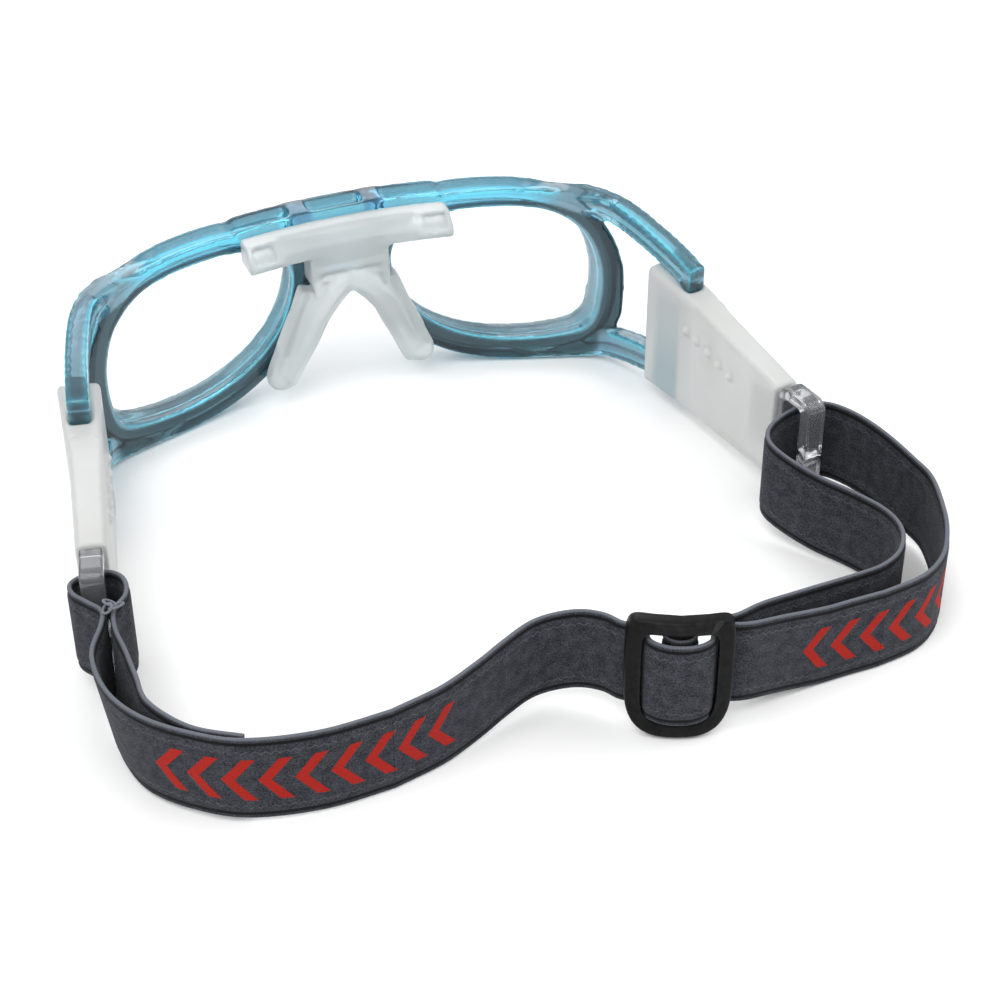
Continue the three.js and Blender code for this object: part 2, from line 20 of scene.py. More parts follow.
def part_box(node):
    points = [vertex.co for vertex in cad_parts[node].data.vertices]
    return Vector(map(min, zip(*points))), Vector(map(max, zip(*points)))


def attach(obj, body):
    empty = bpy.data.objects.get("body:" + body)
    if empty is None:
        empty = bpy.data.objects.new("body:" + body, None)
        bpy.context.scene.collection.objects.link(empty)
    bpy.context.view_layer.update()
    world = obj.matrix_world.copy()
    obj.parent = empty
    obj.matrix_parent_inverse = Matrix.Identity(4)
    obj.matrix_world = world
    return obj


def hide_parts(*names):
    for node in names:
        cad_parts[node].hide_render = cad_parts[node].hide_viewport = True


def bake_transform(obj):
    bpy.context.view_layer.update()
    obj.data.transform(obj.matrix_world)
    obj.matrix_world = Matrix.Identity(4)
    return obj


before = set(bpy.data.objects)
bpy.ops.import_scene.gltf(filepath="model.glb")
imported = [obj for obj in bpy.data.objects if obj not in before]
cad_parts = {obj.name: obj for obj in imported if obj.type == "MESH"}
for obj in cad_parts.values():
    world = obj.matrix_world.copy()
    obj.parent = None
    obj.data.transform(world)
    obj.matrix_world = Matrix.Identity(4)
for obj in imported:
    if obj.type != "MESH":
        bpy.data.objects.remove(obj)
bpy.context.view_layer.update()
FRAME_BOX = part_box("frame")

logging.basicConfig(level=logging.INFO, format="%(name)s: %(message)s")
log = logging.getLogger("goggles")

MM = 0.001
WELD_DISTANCE = 1e-6
BLOCK_BEVEL = 0.12
Point = tuple[float, float, float]
Colour = tuple[float, float, float]


class Side(Enum):
    """A side of the wearer, with the sign of its x."""

    LEFT = 1
    RIGHT = -1

    @property
    def label(self) -> str:
        """The name that the side's nodes and pieces begin with."""
        return self.name.lower()


# ---- space ----------------------------------------------------------------


@dataclass(frozen=True)
class GogglesSpace:
    """Where the goggles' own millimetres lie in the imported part."""

    frame_front: float = -8.4
    temple_origin: tuple[float, float] = (65.7, 31.5)
    temple_splay: float = math.radians(12.7)
    right_bend: float = math.radians(4)
    flex_at: tuple[float, float] = (4.0, 16.8)
    slider_centre: Point = (-19.5, 145.5, 0.3)
    slider_turn: float = math.radians(157.4)

    def offset(self) -> Vector:
        """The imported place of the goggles' own origin, in metres."""
        low, high = FRAME_BOX
        return Vector(((low.x + high.x) / 2, low.y - self.frame_front * MM, 0))

    def place(self, x: float, y: float, z: float) -> Vector:
        """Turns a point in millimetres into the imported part's metres."""
        return self.offset() + Vector((x, y, z)) * MM

    def on_temple(self, side: Side, across: float, along: float, z: float) -> Vector:
        """Turns a point on a temple into metres.

        Args:
            side: The temple.
            across: Millimetres outward from the sleeve's inner face.
            along: Millimetres back from the sleeve's front end.
            z: Millimetres above the table.

        Returns:
            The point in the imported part.
        """
        if side is Side.RIGHT and along > self.flex_at[1]:
            c, s = math.cos(self.right_bend), math.sin(self.right_bend)
            outward, back = across - self.flex_at[0], along - self.flex_at[1]
            across = self.flex_at[0] + outward * c - back * s
            along = self.flex_at[1] + outward * s + back * c
        c, s = math.cos(self.temple_splay), math.sin(self.temple_splay)
        x = self.temple_origin[0] + across * c + along * s
        y = self.temple_origin[1] - across * s + along * c
        return self.place(side.value * x, y, z)

    def on_slider(self, along: float, out: float, z: float) -> Vector:
        """Turns a point by the slider into metres.

        Args:
            along: Millimetres along the strap from the slider's middle.
            out: Millimetres out of the slider's face.
            z: Millimetres above the slider's foot.

        Returns:
            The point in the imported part.
        """
        c, s = math.cos(self.slider_turn), math.sin(self.slider_turn)
        x, y, base = self.slider_centre
        return self.place(x + along * c + out * s, y + along * s - out * c, base + z)


SPACE = GogglesSpace()


# ---- mesh tools -----------------------------------------------------------


def deselect_all() -> None:
    """Leaves object mode with nothing selected."""
    if bpy.context.object and bpy.context.object.mode != "OBJECT":
        bpy.ops.object.mode_set(mode="OBJECT")
    bpy.ops.object.select_all(action="DESELECT")


def activate(piece: bpy.types.Object) -> None:
    """Makes one piece the only selected and the active one.

    Args:
        piece: The piece.
    """
    deselect_all()
    piece.select_set(True)
    bpy.context.view_layer.objects.active = piece


def settle(piece: bpy.types.Object) -> bpy.types.Object:
    """Moves a piece's place into its mesh.

    Args:
        piece: The piece.

    Returns:
        The same piece, at the origin.
    """
    activate(piece)
    bpy.ops.object.transform_apply(location=True, rotation=True, scale=True)
    return piece


def finish_modifier(piece: bpy.types.Object, kind: str, **settings: object) -> None:
    """Adds a modifier and applies it.

    Args:
        piece: The piece to change.
        kind: The modifier's type.
        **settings: The modifier's values.
    """
    activate(piece)
    modifier = piece.modifiers.new(kind.title(), kind)
    for name, value in settings.items():
        setattr(modifier, name, value)
    bpy.ops.object.modifier_apply(modifier=modifier.name)


def smooth(piece: bpy.types.Object, degrees: float = 40) -> None:
    """Shades a piece smooth across edges flatter than an angle."""
    activate(piece)
    bpy.ops.object.shade_smooth_by_angle(angle=math.radians(degrees))


def join(pieces: Sequence[bpy.types.Object], name: str) -> bpy.types.Object:
    """Makes several meshes one object.

    Args:
        pieces: The objects, of which the first is kept.
        name: The new name.

    Returns:
        The joined object.
    """
    deselect_all()
    for piece in pieces:
        piece.select_set(True)
    bpy.context.view_layer.objects.active = pieces[0]
    if len(pieces) > 1:
        bpy.ops.object.join()
    pieces[0].name = name
    return pieces[0]


def edit_all(piece: bpy.types.Object, operator: Callable[..., object], **settings: object) -> None:
    """Runs a mesh operator on the whole of a piece.

    Args:
        piece: The piece to edit.
        operator: The edit-mode operator.
        **settings: The operator's values.
    """
    activate(piece)
    bpy.ops.object.mode_set(mode="EDIT")
    bpy.ops.mesh.select_all(action="SELECT")
    operator(**settings)
    bpy.ops.object.mode_set(mode="OBJECT")


def copy_of(node: str) -> bpy.types.Object:
    """A welded copy of a CAD node, free to be shaped.

    Args:
        node: The node's name.

    Returns:
        The copy.
    """
    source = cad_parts[node]
    piece = bpy.data.objects.new(f"{node}_copy", source.data.copy())
    piece.data.materials.clear()
    bpy.context.scene.collection.objects.link(piece)
    edit_all(piece, bpy.ops.mesh.remove_doubles, threshold=WELD_DISTANCE)
    return piece


def block(centre: Vector, size: Point, turn: Point = (0, 0, 0)) -> bpy.types.Object:
    """A box with softened edges, as one of the shapes that a moulding is built from.

    Args:
        centre: Its middle, in metres.
        size: Its sides, in millimetres.
        turn: Its turn about each axis, in radians.

    Returns:
        The box, with its place in its mesh.
    """
    deselect_all()
    bpy.ops.mesh.primitive_cube_add(size=1, location=centre, rotation=turn)
    piece = bpy.context.object
    piece.scale = Vector(size) * MM
    settle(piece)
    edit_all(piece, bpy.ops.mesh.bevel, offset=BLOCK_BEVEL * min(size) * MM, segments=2)
    return piece


def dome(centre: Vector, radius: float) -> bpy.types.Object:
    """A small ball, which stands half sunk in a surface.

    Args:
        centre: Its middle, in metres.
        radius: Its radius, in millimetres.

    Returns:
        The ball, with its place in its mesh.
    """
    deselect_all()
    bpy.ops.mesh.primitive_uv_sphere_add(
        segments=16, ring_count=10, radius=radius * MM, location=centre
    )
    return settle(bpy.context.object)


def carve(piece: bpy.types.Object, tools: Iterable[bpy.types.Object]) -> None:
    """Cuts tools out of a piece and removes them.

    Args:
        piece: The piece to cut.
        tools: The shapes to cut out of it.
    """
    for tool in tools:
        finish_modifier(piece, "BOOLEAN", operation="DIFFERENCE", object=tool, solver="EXACT")
        bpy.data.objects.remove(tool)


def mould(piece: bpy.types.Object, voxel: float, passes: int) -> None:
    """Turns overlapping shapes into one soft-edged moulding.

    Args:
        piece: The joined shapes.
        voxel: The size of the new surface's faces, in millimetres.
        passes: How often the surface is smoothed.
    """
    finish_modifier(piece, "REMESH", mode="VOXEL", voxel_size=voxel * MM)
    finish_modifier(piece, "SMOOTH", factor=0.5, iterations=passes)
    activate(piece)
    bpy.ops.object.shade_smooth()


def smoothstep(low: float, high: float, value: float) -> float:
    """Rises smoothly from 0 at low to 1 at high."""
    t = min(1.0, max(0.0, (value - low) / (high - low)))
    return t * t * (3 - 2 * t)


def shade_layer(piece: bpy.types.Object, name: str,
                rule: Callable[[Vector, Vector], float]) -> None:
    """Gives a piece a shade layer for its material to read.

    Args:
        piece: The piece.
        name: The layer's name.
        rule: The share at a vertex, from its place in the goggles' millimetres and its normal.
    """
    mesh = piece.data
    offset = SPACE.offset()
    layer = mesh.attributes.new(name, "FLOAT", "POINT")
    shares = [
        rule((vertex.co - offset) / MM, normal.vector)
        for vertex, normal in zip(mesh.vertices, mesh.vertex_normals)
    ]
    layer.data.foreach_set("value", shares)


def edge_layer(piece: bpy.types.Object, name: str, low: float, high: float, passes: int) -> None:
    """Gives a piece a layer that is full on its rounded edges and nothing on its flats.

    Args:
        piece: The piece, evenly meshed.
        name: The layer's name.
        low: The turn between neighbouring vertices, in degrees, where the layer begins.
        high: The turn where it is full.
        passes: How often the layer is softened.
    """
    mesh = piece.data
    normals = [normal.vector.copy() for normal in mesh.vertex_normals]
    pairs = [tuple(edge.vertices) for edge in mesh.edges]
    turns = [0.0] * len(normals)
    for a, b in pairs:
        turn = math.degrees(normals[a].angle(normals[b], 0))
        turns[a] = max(turns[a], turn)
        turns[b] = max(turns[b], turn)
    shares = [smoothstep(low, high, turn) for turn in turns]
    for _ in range(passes):
        sums, counts = list(shares), [1] * len(shares)
        for a, b in pairs:
            sums[a] += shares[b]
            sums[b] += shares[a]
            counts[a] += 1
            counts[b] += 1
        shares = [total / count for total, count in zip(sums, counts)]
    mesh.attributes.new(name, "FLOAT", "POINT").data.foreach_set("value", shares)


# ---- materials ------------------------------------------------------------


class Nodes:
    """Adds and links the nodes of one tree."""

    def __init__(self, tree: bpy.types.NodeTree) -> None:
        """Starts building in a tree."""
        self.tree = tree

    def add(self, kind: str, values: dict | None = None, **settings: object) -> bpy.types.Node:
        """Adds a node.

        Args:
            kind: The node's type.
            values: Input names or numbers, each with a value or a socket to link.
            **settings: The node's own properties.

        Returns:
            The new node.
        """
        node = self.tree.nodes.new(kind)
        for name, value in settings.items():
            setattr(node, name, value)
        for key, value in (values or {}).items():
            self.feed(node.inputs[key], value)
        return node

    def feed(self, socket: bpy.types.NodeSocket, value: object) -> None:
        """Sets a socket's value, or links another socket to it.

        Args:
            socket: The input socket.
            value: A value, or the output socket that feeds it.
        """
        if isinstance(value, bpy.types.NodeSocket):
            self.tree.links.new(value, socket)
        else:
            socket.default_value = value

    def math(self, operation: str, *values: object) -> bpy.types.NodeSocket:
        """The result of a math node on numbers or sockets."""
        node = self.add("ShaderNodeMath", dict(enumerate(values)), operation=operation)
        return node.outputs[0]

    def mix(self, share: object, a: object, b: object) -> bpy.types.NodeSocket:
        """A colour between a and b.

        Args:
            share: How far from a to b, from 0 to 1.
            a: The first colour or socket.
            b: The second colour or socket.

        Returns:
            The mixed colour.
        """
        node = self.add("ShaderNodeMix", data_type="RGBA")
        self.feed(node.inputs[0], share)
        self.feed(node.inputs[6], a)
        self.feed(node.inputs[7], b)
        return node.outputs[2]

    def ramp(self, value: object, low: float, high: float,
             to_low: float = 0, to_high: float = 1) -> bpy.types.NodeSocket:
        """Maps a value from one range to another, and keeps it inside."""
        node = self.add("ShaderNodeMapRange", {0: value, 1: low, 2: high, 3: to_low, 4: to_high})
        return node.outputs[0]

    def noise(self, vector: object, scale: float, detail: float = 3) -> bpy.types.NodeSocket:
        """The height of a noise of that scale."""
        values = {"Vector": vector, "Scale": scale, "Detail": detail}
        return self.add("ShaderNodeTexNoise", values).outputs[0]


def node_group(name: str, inputs: dict[str, float], outputs: Sequence[str],
               build: Callable[[Nodes, dict, dict], None]) -> bpy.types.NodeTree:
    """Makes a shader node group once.

    Args:
        name: The group's name.
        inputs: Its number inputs and their defaults.
        outputs: Its number outputs.
        build: Fills the group, given its nodes, input sockets and output sockets.

    Returns:
        The group.
    """
    tree = bpy.data.node_groups.new(name, "ShaderNodeTree")
    tree.interface.new_socket("Vector", in_out="INPUT", socket_type="NodeSocketVector")
    for key, value in inputs.items():
        socket = tree.interface.new_socket(key, in_out="INPUT", socket_type="NodeSocketFloat")
        socket.default_value = value
    for key in outputs:
        tree.interface.new_socket(key, in_out="OUTPUT", socket_type="NodeSocketFloat")
    nodes = Nodes(tree)
    source = nodes.add("NodeGroupInput")
    target = nodes.add("NodeGroupOutput")
    build(nodes, source.outputs, target.inputs)
    return tree


def moulded_surface() -> bpy.types.NodeTree:
    """Faint flow lines, dust and handling marks of moulded plastic or silicone."""

    def build(nodes: Nodes, given: dict, out: dict) -> None:
        """Fills the group.

        Args:
            nodes: The group's nodes.
            given: Its input sockets.
            out: Its output sockets.
        """
        fine = nodes.noise(given["Vector"], scale=900, detail=2)
        broad = nodes.noise(given["Vector"], scale=60, detail=4)
        nodes.feed(out["Height"], nodes.math("ADD", nodes.math("MULTIPLY", fine, 0.4), broad))
        marks = nodes.ramp(broad, 0.45, 0.75)
        nodes.feed(out["Marks"], nodes.math("MULTIPLY", marks, given["Amount"]))

    return node_group("moulded_surface", {"Amount": 0.5}, ["Height", "Marks"], build)


def edge_wear() -> bpy.types.NodeTree:
    """Pale rubbed edges, from the bend of the surface."""

    def build(nodes: Nodes, given: dict, out: dict) -> None:
        """Fills the group.

        Args:
            nodes: The group's nodes.
            given: Its input sockets.
            out: Its output sockets.
        """
        bend = nodes.add("ShaderNodeNewGeometry").outputs["Pointiness"]
        speckle = nodes.noise(given["Vector"], scale=700)
        rubbed = nodes.ramp(bend, 0.51, 0.56)
        patchy = nodes.math("MULTIPLY", rubbed, speckle)
        nodes.feed(out["Wear"], nodes.math("MULTIPLY", patchy, given["Amount"]))

    return node_group("edge_wear", {"Amount": 0.5}, ["Wear"], build)


def brushed_weave() -> bpy.types.NodeTree:
    """Brushed elastic: woven ribs under a short nap, by the strap's own lengthwise map."""

    def build(nodes: Nodes, given: dict, out: dict) -> None:
        """Fills the group.

        Args:
            nodes: The group's nodes.
            given: Its input sockets.
            out: Its output sockets.
        """
        along, across, _ = nodes.add("ShaderNodeSeparateXYZ", {0: given["Vector"]}).outputs
        ribs = nodes.math("SINE", nodes.math("MULTIPLY", along, given["Ribs"]))
        rows = nodes.math("SINE", nodes.math("MULTIPLY", across, given["Rows"]))
        weave = nodes.math("MULTIPLY", ribs, rows)
        nap = nodes.noise(given["Vector"], scale=2600, detail=4)
        tufts = nodes.noise(given["Vector"], scale=420)
        threads = nodes.math("MULTIPLY", weave, 0.18)
        height = nodes.math("ADD", threads, nodes.math("MULTIPLY", nap, 0.9))
        nodes.feed(out["Height"], nodes.math("ADD", height, nodes.math("MULTIPLY", tufts, 0.5)))
        fuzz = nodes.math("MULTIPLY_ADD", tufts, 0.5, nap)
        nodes.feed(out["Nap"], nodes.ramp(fuzz, 0.6, 0.95))

    return node_group("brushed_weave", {"Ribs": 9000.0, "Rows": 7500.0}, ["Height", "Nap"], build)


@dataclass
class Workshop:
    """The shared node groups, made once."""

    surface: bpy.types.NodeTree = field(default_factory=moulded_surface)
    wear: bpy.types.NodeTree = field(default_factory=edge_wear)
    weave: bpy.types.NodeTree = field(default_factory=brushed_weave)


def new_material(name: str) -> tuple[bpy.types.Material, Nodes, bpy.types.Node]:
    """An empty node material with its Principled shader.

    Args:
        name: The material's name.

    Returns:
        The material, its nodes and its shader.
    """
    material = bpy.data.materials.new(name)
    material.use_nodes = True
    nodes = Nodes(material.node_tree)
    return material, nodes, material.node_tree.nodes["Principled BSDF"]


def object_coordinates(nodes: Nodes) -> bpy.types.NodeSocket:
    """The piece's own coordinates, which stay with it when it moves."""
    return nodes.add("ShaderNodeTexCoord").outputs["Object"]


def add_bump(nodes: Nodes, shader: bpy.types.Node, height: object,
             strength: float, depth: float) -> None:
    """Feeds a height into the shader's normal.

    Args:
        nodes: The material's nodes.
        shader: Its shader.
        height: The height's socket.
        strength: How strongly it shows.
        depth: How deep it is, in millimetres.
    """
    values = {"Strength": strength, "Distance": depth * MM, "Height": height}
    bump = nodes.add("ShaderNodeBump", values)
    nodes.feed(shader.inputs["Normal"], bump.outputs[0])


@dataclass(frozen=True)
class MouldedFinish:
    """A moulded plastic or silicone, clear, milky or solid."""

    name: str
    colour: Colour
    deep_colour: Colour
    roughness: float
    transmission: float = 0.0
    subsurface: float = 0.0
    ior: float = 1.45
    bump: float = 0.15
    marks: float = 0.5
    wear: float = 0.0
    shades: tuple[tuple[str, Colour], ...] = ()

    def material(self, workshop: Workshop) -> bpy.types.Material:
        """Builds the material.

        Args:
            workshop: The shared node groups.

        Returns:
            The material.
        """
        material, nodes, shader = new_material(self.name)
        where = object_coordinates(nodes)
        surface = nodes.add("ShaderNodeGroup", node_tree=workshop.surface)
        nodes.feed(surface.inputs["Vector"], where)
        surface.inputs["Amount"].default_value = self.marks
        worn = nodes.add("ShaderNodeGroup", node_tree=workshop.wear)
        nodes.feed(worn.inputs["Vector"], where)
        worn.inputs["Amount"].default_value = self.wear
        cloudy = nodes.ramp(nodes.noise(where, scale=45), 0.35, 0.7)
        body = nodes.mix(cloudy, (*self.colour, 1), (*self.deep_colour, 1))
        for layer, shade in self.shades:
            share = nodes.add("ShaderNodeAttribute", attribute_name=layer).outputs["Fac"]
            body = nodes.mix(share, body, (*shade, 1))
        pale = tuple(0.5 + 0.5 * value for value in self.colour)
        nodes.feed(shader.inputs["Base Color"], nodes.mix(worn.outputs["Wear"], body, (*pale, 1)))
        rough = nodes.math("MULTIPLY_ADD", surface.outputs["Marks"], 0.12, self.roughness)
        nodes.feed(shader.inputs["Roughness"], rough)
        shader.inputs["Transmission Weight"].default_value = self.transmission
        shader.inputs["Subsurface Weight"].default_value = self.subsurface
        shader.inputs["Subsurface Radius"].default_value = (1.0, 1.0, 1.0)
        shader.inputs["Subsurface Scale"].default_value = 2 * MM
        shader.inputs["IOR"].default_value = self.ior
        add_bump(nodes, shader, surface.outputs["Height"], self.bump, depth=0.1)
        return material


@dataclass(frozen=True)
class LensFinish:
    """Clear hard-coated polycarbonate with a trace of tint and faint smears."""

    name: str = "clear_lens"
    tint: Colour = (0.93, 0.985, 1.0)
    smeared: Colour = (0.97, 0.99, 1.0)
    alpha: float = 0.07
    ior: float = 1.58

    def material(self) -> bpy.types.Material:
        """Builds the material.

        Returns:
            The material.
        """
        material, nodes, shader = new_material(self.name)
        smear = nodes.ramp(nodes.noise(object_coordinates(nodes), scale=70, detail=4), 0.5, 0.8)
        colour = nodes.mix(smear, (*self.tint, 1), (*self.smeared, 1))
        nodes.feed(shader.inputs["Base Color"], colour)
        nodes.feed(shader.inputs["Roughness"], nodes.math("MULTIPLY_ADD", smear, 0.05, 0.02))
        nodes.feed(shader.inputs["Alpha"], nodes.math("MULTIPLY_ADD", smear, 0.02, self.alpha))
        shader.inputs["IOR"].default_value = self.ior
        return material


@dataclass(frozen=True)
class StrapFinish:
    """Brushed elastic webbing: nap, rolled edges paler in their own colour and with a painted
    highlight, painted shade in the groove beside each edge, and zigzag stitches.
    """

    name: str = "elastic_strap"
    cloth: Colour = (0.016, 0.017, 0.022)
    nap: Colour = (0.062, 0.066, 0.080)
    # The piping colour is the rolled edge's paler cord with a painted highlight along its crest.
    piping: Colour = (0.13, 0.14, 0.165)
    # The groove colour is painted shade in the groove beside each rolled edge.
    groove: Colour = (0.006, 0.006, 0.008)
    stitch: Colour = (0.12, 0.125, 0.145)
    motif: Colour = (0.36, 0.014, 0.008)
    width: float = 20.0
    piping_edges: tuple[float, float] = (0.45, 0.12)
    groove_line: tuple[float, float] = (1.3, 0.5)
    stitch_line: tuple[float, float] = (2.9, 0.2)
    zigzag_length: float = 0.9
    zigzag_slope: float = 0.7
    motif_pitch: float = 6.8
    motif_lean: float = 0.8
    motif_bars: tuple[int, int] | None = None

    @property
    def half(self) -> float:
        """Half the strap's width, in metres."""
        return self.width / 2 * MM

    def material(self, workshop: Workshop) -> bpy.types.Material:
        """Builds the material.

        Args:
            workshop: The shared node groups.

        Returns:
            The material.
        """
        material, nodes, shader = new_material(self.name)
        where = nodes.add("ShaderNodeUVMap", uv_map="strap_map").outputs[0]
        parts = nodes.add("ShaderNodeSeparateXYZ", {0: where})
        along, across = parts.outputs[0], parts.outputs[1]
        weave = nodes.add("ShaderNodeGroup", node_tree=workshop.weave)
        nodes.feed(weave.inputs["Vector"], where)
        from_middle = nodes.math("ABSOLUTE", nodes.math("SUBTRACT", across, self.half))
        # The paler cord and a painted highlight along each rolled edge.
        begun, full = (self.half - inward * MM for inward in self.piping_edges)
        on_piping_highlight = nodes.ramp(from_middle, begun, full)
        # Painted shade in the groove beside each rolled edge.
        groove_shade_mask = self.line(nodes, from_middle, *self.groove_line)
        turns = nodes.math("PINGPONG", along, self.zigzag_length * MM)
        zigzag = nodes.math("MULTIPLY", turns, self.zigzag_slope)
        stitched = self.line(nodes, nodes.math("ADD", from_middle, zigzag), *self.stitch_line)
        cloth = nodes.mix(weave.outputs["Nap"], (*self.cloth, 1), (*self.nap, 1))
        loose = nodes.ramp(nodes.noise(where, scale=900, detail=2), 0.35, 0.65, 0.1, 0.6)
        stitch_share = nodes.math("MULTIPLY", stitched, loose)
        colour = nodes.mix(stitch_share, cloth, (*self.stitch, 1))
        height = nodes.math("MULTIPLY_ADD", stitched, 0.6, weave.outputs["Height"])
        if self.motif_bars:
            bars = self.motif_mask(nodes, along, across)
            colour = nodes.mix(bars, colour, (*self.motif, 1))
            ribs = nodes.math("SINE", nodes.math("MULTIPLY", across, 14000))
            raised = nodes.math("MULTIPLY_ADD", ribs, 0.25, 1.1)
            height = nodes.math("MULTIPLY_ADD", bars, raised, height)
        colour = nodes.mix(groove_shade_mask, colour, (*self.groove, 1))
        cord = nodes.math("SINE", nodes.math("MULTIPLY", along, 8000))
        twist = nodes.ramp(cord, -1, 1, 0, 0.15)
        piped_highlight = nodes.mix(twist, (*self.piping, 1), (*self.nap, 1))
        nodes.feed(shader.inputs["Base Color"], nodes.mix(on_piping_highlight, colour, piped_highlight))
        nodes.feed(shader.inputs["Roughness"], nodes.ramp(on_piping_highlight, 0, 1, 0.95, 0.7))
        shader.inputs["Sheen Weight"].default_value = 0.06
        shader.inputs["Sheen Roughness"].default_value = 0.5
        shader.inputs["Specular IOR Level"].default_value = 0.12
        add_bump(nodes, shader, height, strength=0.8, depth=0.16)
        return material

    def line(self, nodes: Nodes, from_middle: object, inward: float,
             half_width: float) -> bpy.types.NodeSocket:
        """Marks a soft line along each edge of the strap.

        Args:
            nodes: The material's nodes.
            from_middle: The distance from the strap's middle line.
            inward: How far the line lies in from the edge, in millimetres.
            half_width: Where it has faded out, in millimetres from its middle.

        Returns:
            One on the line, and nothing beside it.
        """
        middle = self.half - inward * MM
        off = nodes.math("ABSOLUTE", nodes.math("SUBTRACT", from_middle, middle))
        return nodes.ramp(off, 0.5 * (half_width * MM), half_width * MM, 1, 0)

    def motif_mask(self, nodes: Nodes, along: object, across: object) -> bpy.types.NodeSocket:
        """Marks the woven row of plain slanted bars, counted in whole bars.

        Args:
            nodes: The material's nodes.
            along: The length along the strap.
            across: The height across it.

        Returns:
            One on the bars, and nothing beside them.
        """
        halves = zip(self.motif_bars, (-0.5, 0.5))
        first, last = ((bar + half) * self.motif_pitch for bar, half in halves)
        from_middle = nodes.math("ABSOLUTE", nodes.math("SUBTRACT", across, self.half))
        leaning = nodes.math("MULTIPLY_ADD", from_middle, self.motif_lean, along)
        repeat = nodes.math("PINGPONG", leaning, self.motif_pitch / 2 * MM)
        bars = nodes.ramp(repeat, 1.15 * MM, 1.35 * MM, 1, 0)
        inside = nodes.ramp(from_middle, 5.0 * MM, 5.2 * MM, 1, 0)
        begun = nodes.ramp(leaning, first * MM, (first + 0.3) * MM)
        ended = nodes.ramp(leaning, last * MM, (last + 0.3) * MM, 1, 0)
        row = nodes.math("MULTIPLY", bars, inside)
        return nodes.math("MULTIPLY", row, nodes.math("MULTIPLY", begun, ended))


@dataclass(frozen=True)
class ThreadFinish:
    """Twisted sewing thread, with painted shade in the hollows of its twist."""

    name: str = "sewing_thread"
    colour: Colour = (0.22, 0.235, 0.27)
    hollow: Colour = (0.09, 0.095, 0.11)

    def material(self) -> bpy.types.Material:
        """Builds the material.

        Returns:
            The material.
        """
        material, nodes, shader = new_material(self.name)
        where = object_coordinates(nodes)
        twist = nodes.noise(where, scale=3000, detail=2)
        # Painted shade in the hollows of the twist.
        colour = nodes.mix(twist, (*self.colour, 1), (*self.hollow, 1))
        nodes.feed(shader.inputs["Base Color"], colour)
        shader.inputs["Roughness"].default_value = 0.8
        add_bump(nodes, shader, twist, strength=0.6, depth=0.1)
        return material


# The frame's edge layer is painted light, and its rim and brow layers are painted shade.
FRAME_TINT = MouldedFinish(
    "tinted_frame", (0.20, 0.32, 0.38), (0.15, 0.27, 0.35), 0.09, transmission=0.85, ior=1.5,
    bump=0.03, marks=0.4,
    shades=(("channel_shade", (0.13, 0.56, 0.78)), ("painted_edge_light", (0.17, 0.74, 0.93)),
            ("block_shade", (0.06, 0.20, 0.42)),
            ("rim_painted_shade", (0.008, 0.022, 0.029)), ("brow_painted_shade", (0.07, 0.10, 0.125))))
SILICONE = MouldedFinish(
    "milky_silicone", (0.80, 0.83, 0.83), (0.66, 0.70, 0.71), 0.3, transmission=0.5, subsurface=0.2,
    ior=1.41, bump=0.25, marks=0.8)
# The sleeve's dot layer is a painted highlight on the grip dots.
SLEEVE_SILICONE = MouldedFinish(
    "sleeve_silicone", (0.74, 0.75, 0.745), (0.68, 0.685, 0.67), 0.36, transmission=0.35,
    subsurface=0.2, ior=1.41, bump=0.25, marks=0.8,
    shades=(("plate_showing", (0.36, 0.50, 0.55)), ("painted_dot_highlight", (0.90, 0.90, 0.87))))
CLEAR_HOOK = MouldedFinish(
    "clear_hook", (0.56, 0.58, 0.60), (0.44, 0.46, 0.48), 0.1, transmission=0.85, ior=1.5,
    bump=0.02)
BLACK_PLASTIC = MouldedFinish(
    "black_plastic", (0.0008, 0.0008, 0.001), (0.002, 0.002, 0.0022), 0.34, ior=1.17,
    bump=0.3, marks=0.9, wear=0.08)


def dress(piece: bpy.types.Object, material: bpy.types.Material) -> None:
    """Gives a piece its material.

    Args:
        piece: The piece.
        material: Its material.
    """
    piece.data.materials.clear()
    piece.data.materials.append(material)


# ---- bands ----------------------------------------------------------------


@dataclass(frozen=True)
class StrapSection:
    """The strap across: two faces with a groove beside each rolled edge."""

    width: float = 20.0
    half_face: float = 0.66
    half_groove: float = 0.36
    roll: float = 0.5
    groove_at: float = 1.35

    def outline(self) -> list[tuple[float, float]]:
        """Goes round the section, from the outer face's foot over the upper edge.

        Returns:
            The points, across the strap and up it, in millimetres.
        """
        low, high = self.roll, self.width - self.roll
        arc = [math.radians(a) for a in (30, 60, 90, 120, 150)]
        up = [(self.half_face, self.width * share) for share in (0.11, 0.25, 0.4, 0.6, 0.75, 0.89)]
        grooves = [(self.half_groove, h) for h in (self.groove_at, self.width - self.groove_at)]
        face = [grooves[0], *up, grooves[1]]
        edge = [(self.roll * math.cos(a), self.roll * math.sin(a)) for a in (0, *arc, math.pi)]
        upper = [(t, high + h) for t, h in edge]
        back = [(-t, self.width - h) for t, h in face]
        lower = [(-t, low - h) for t, h in edge]
        return [*face, *upper, *back, *lower]


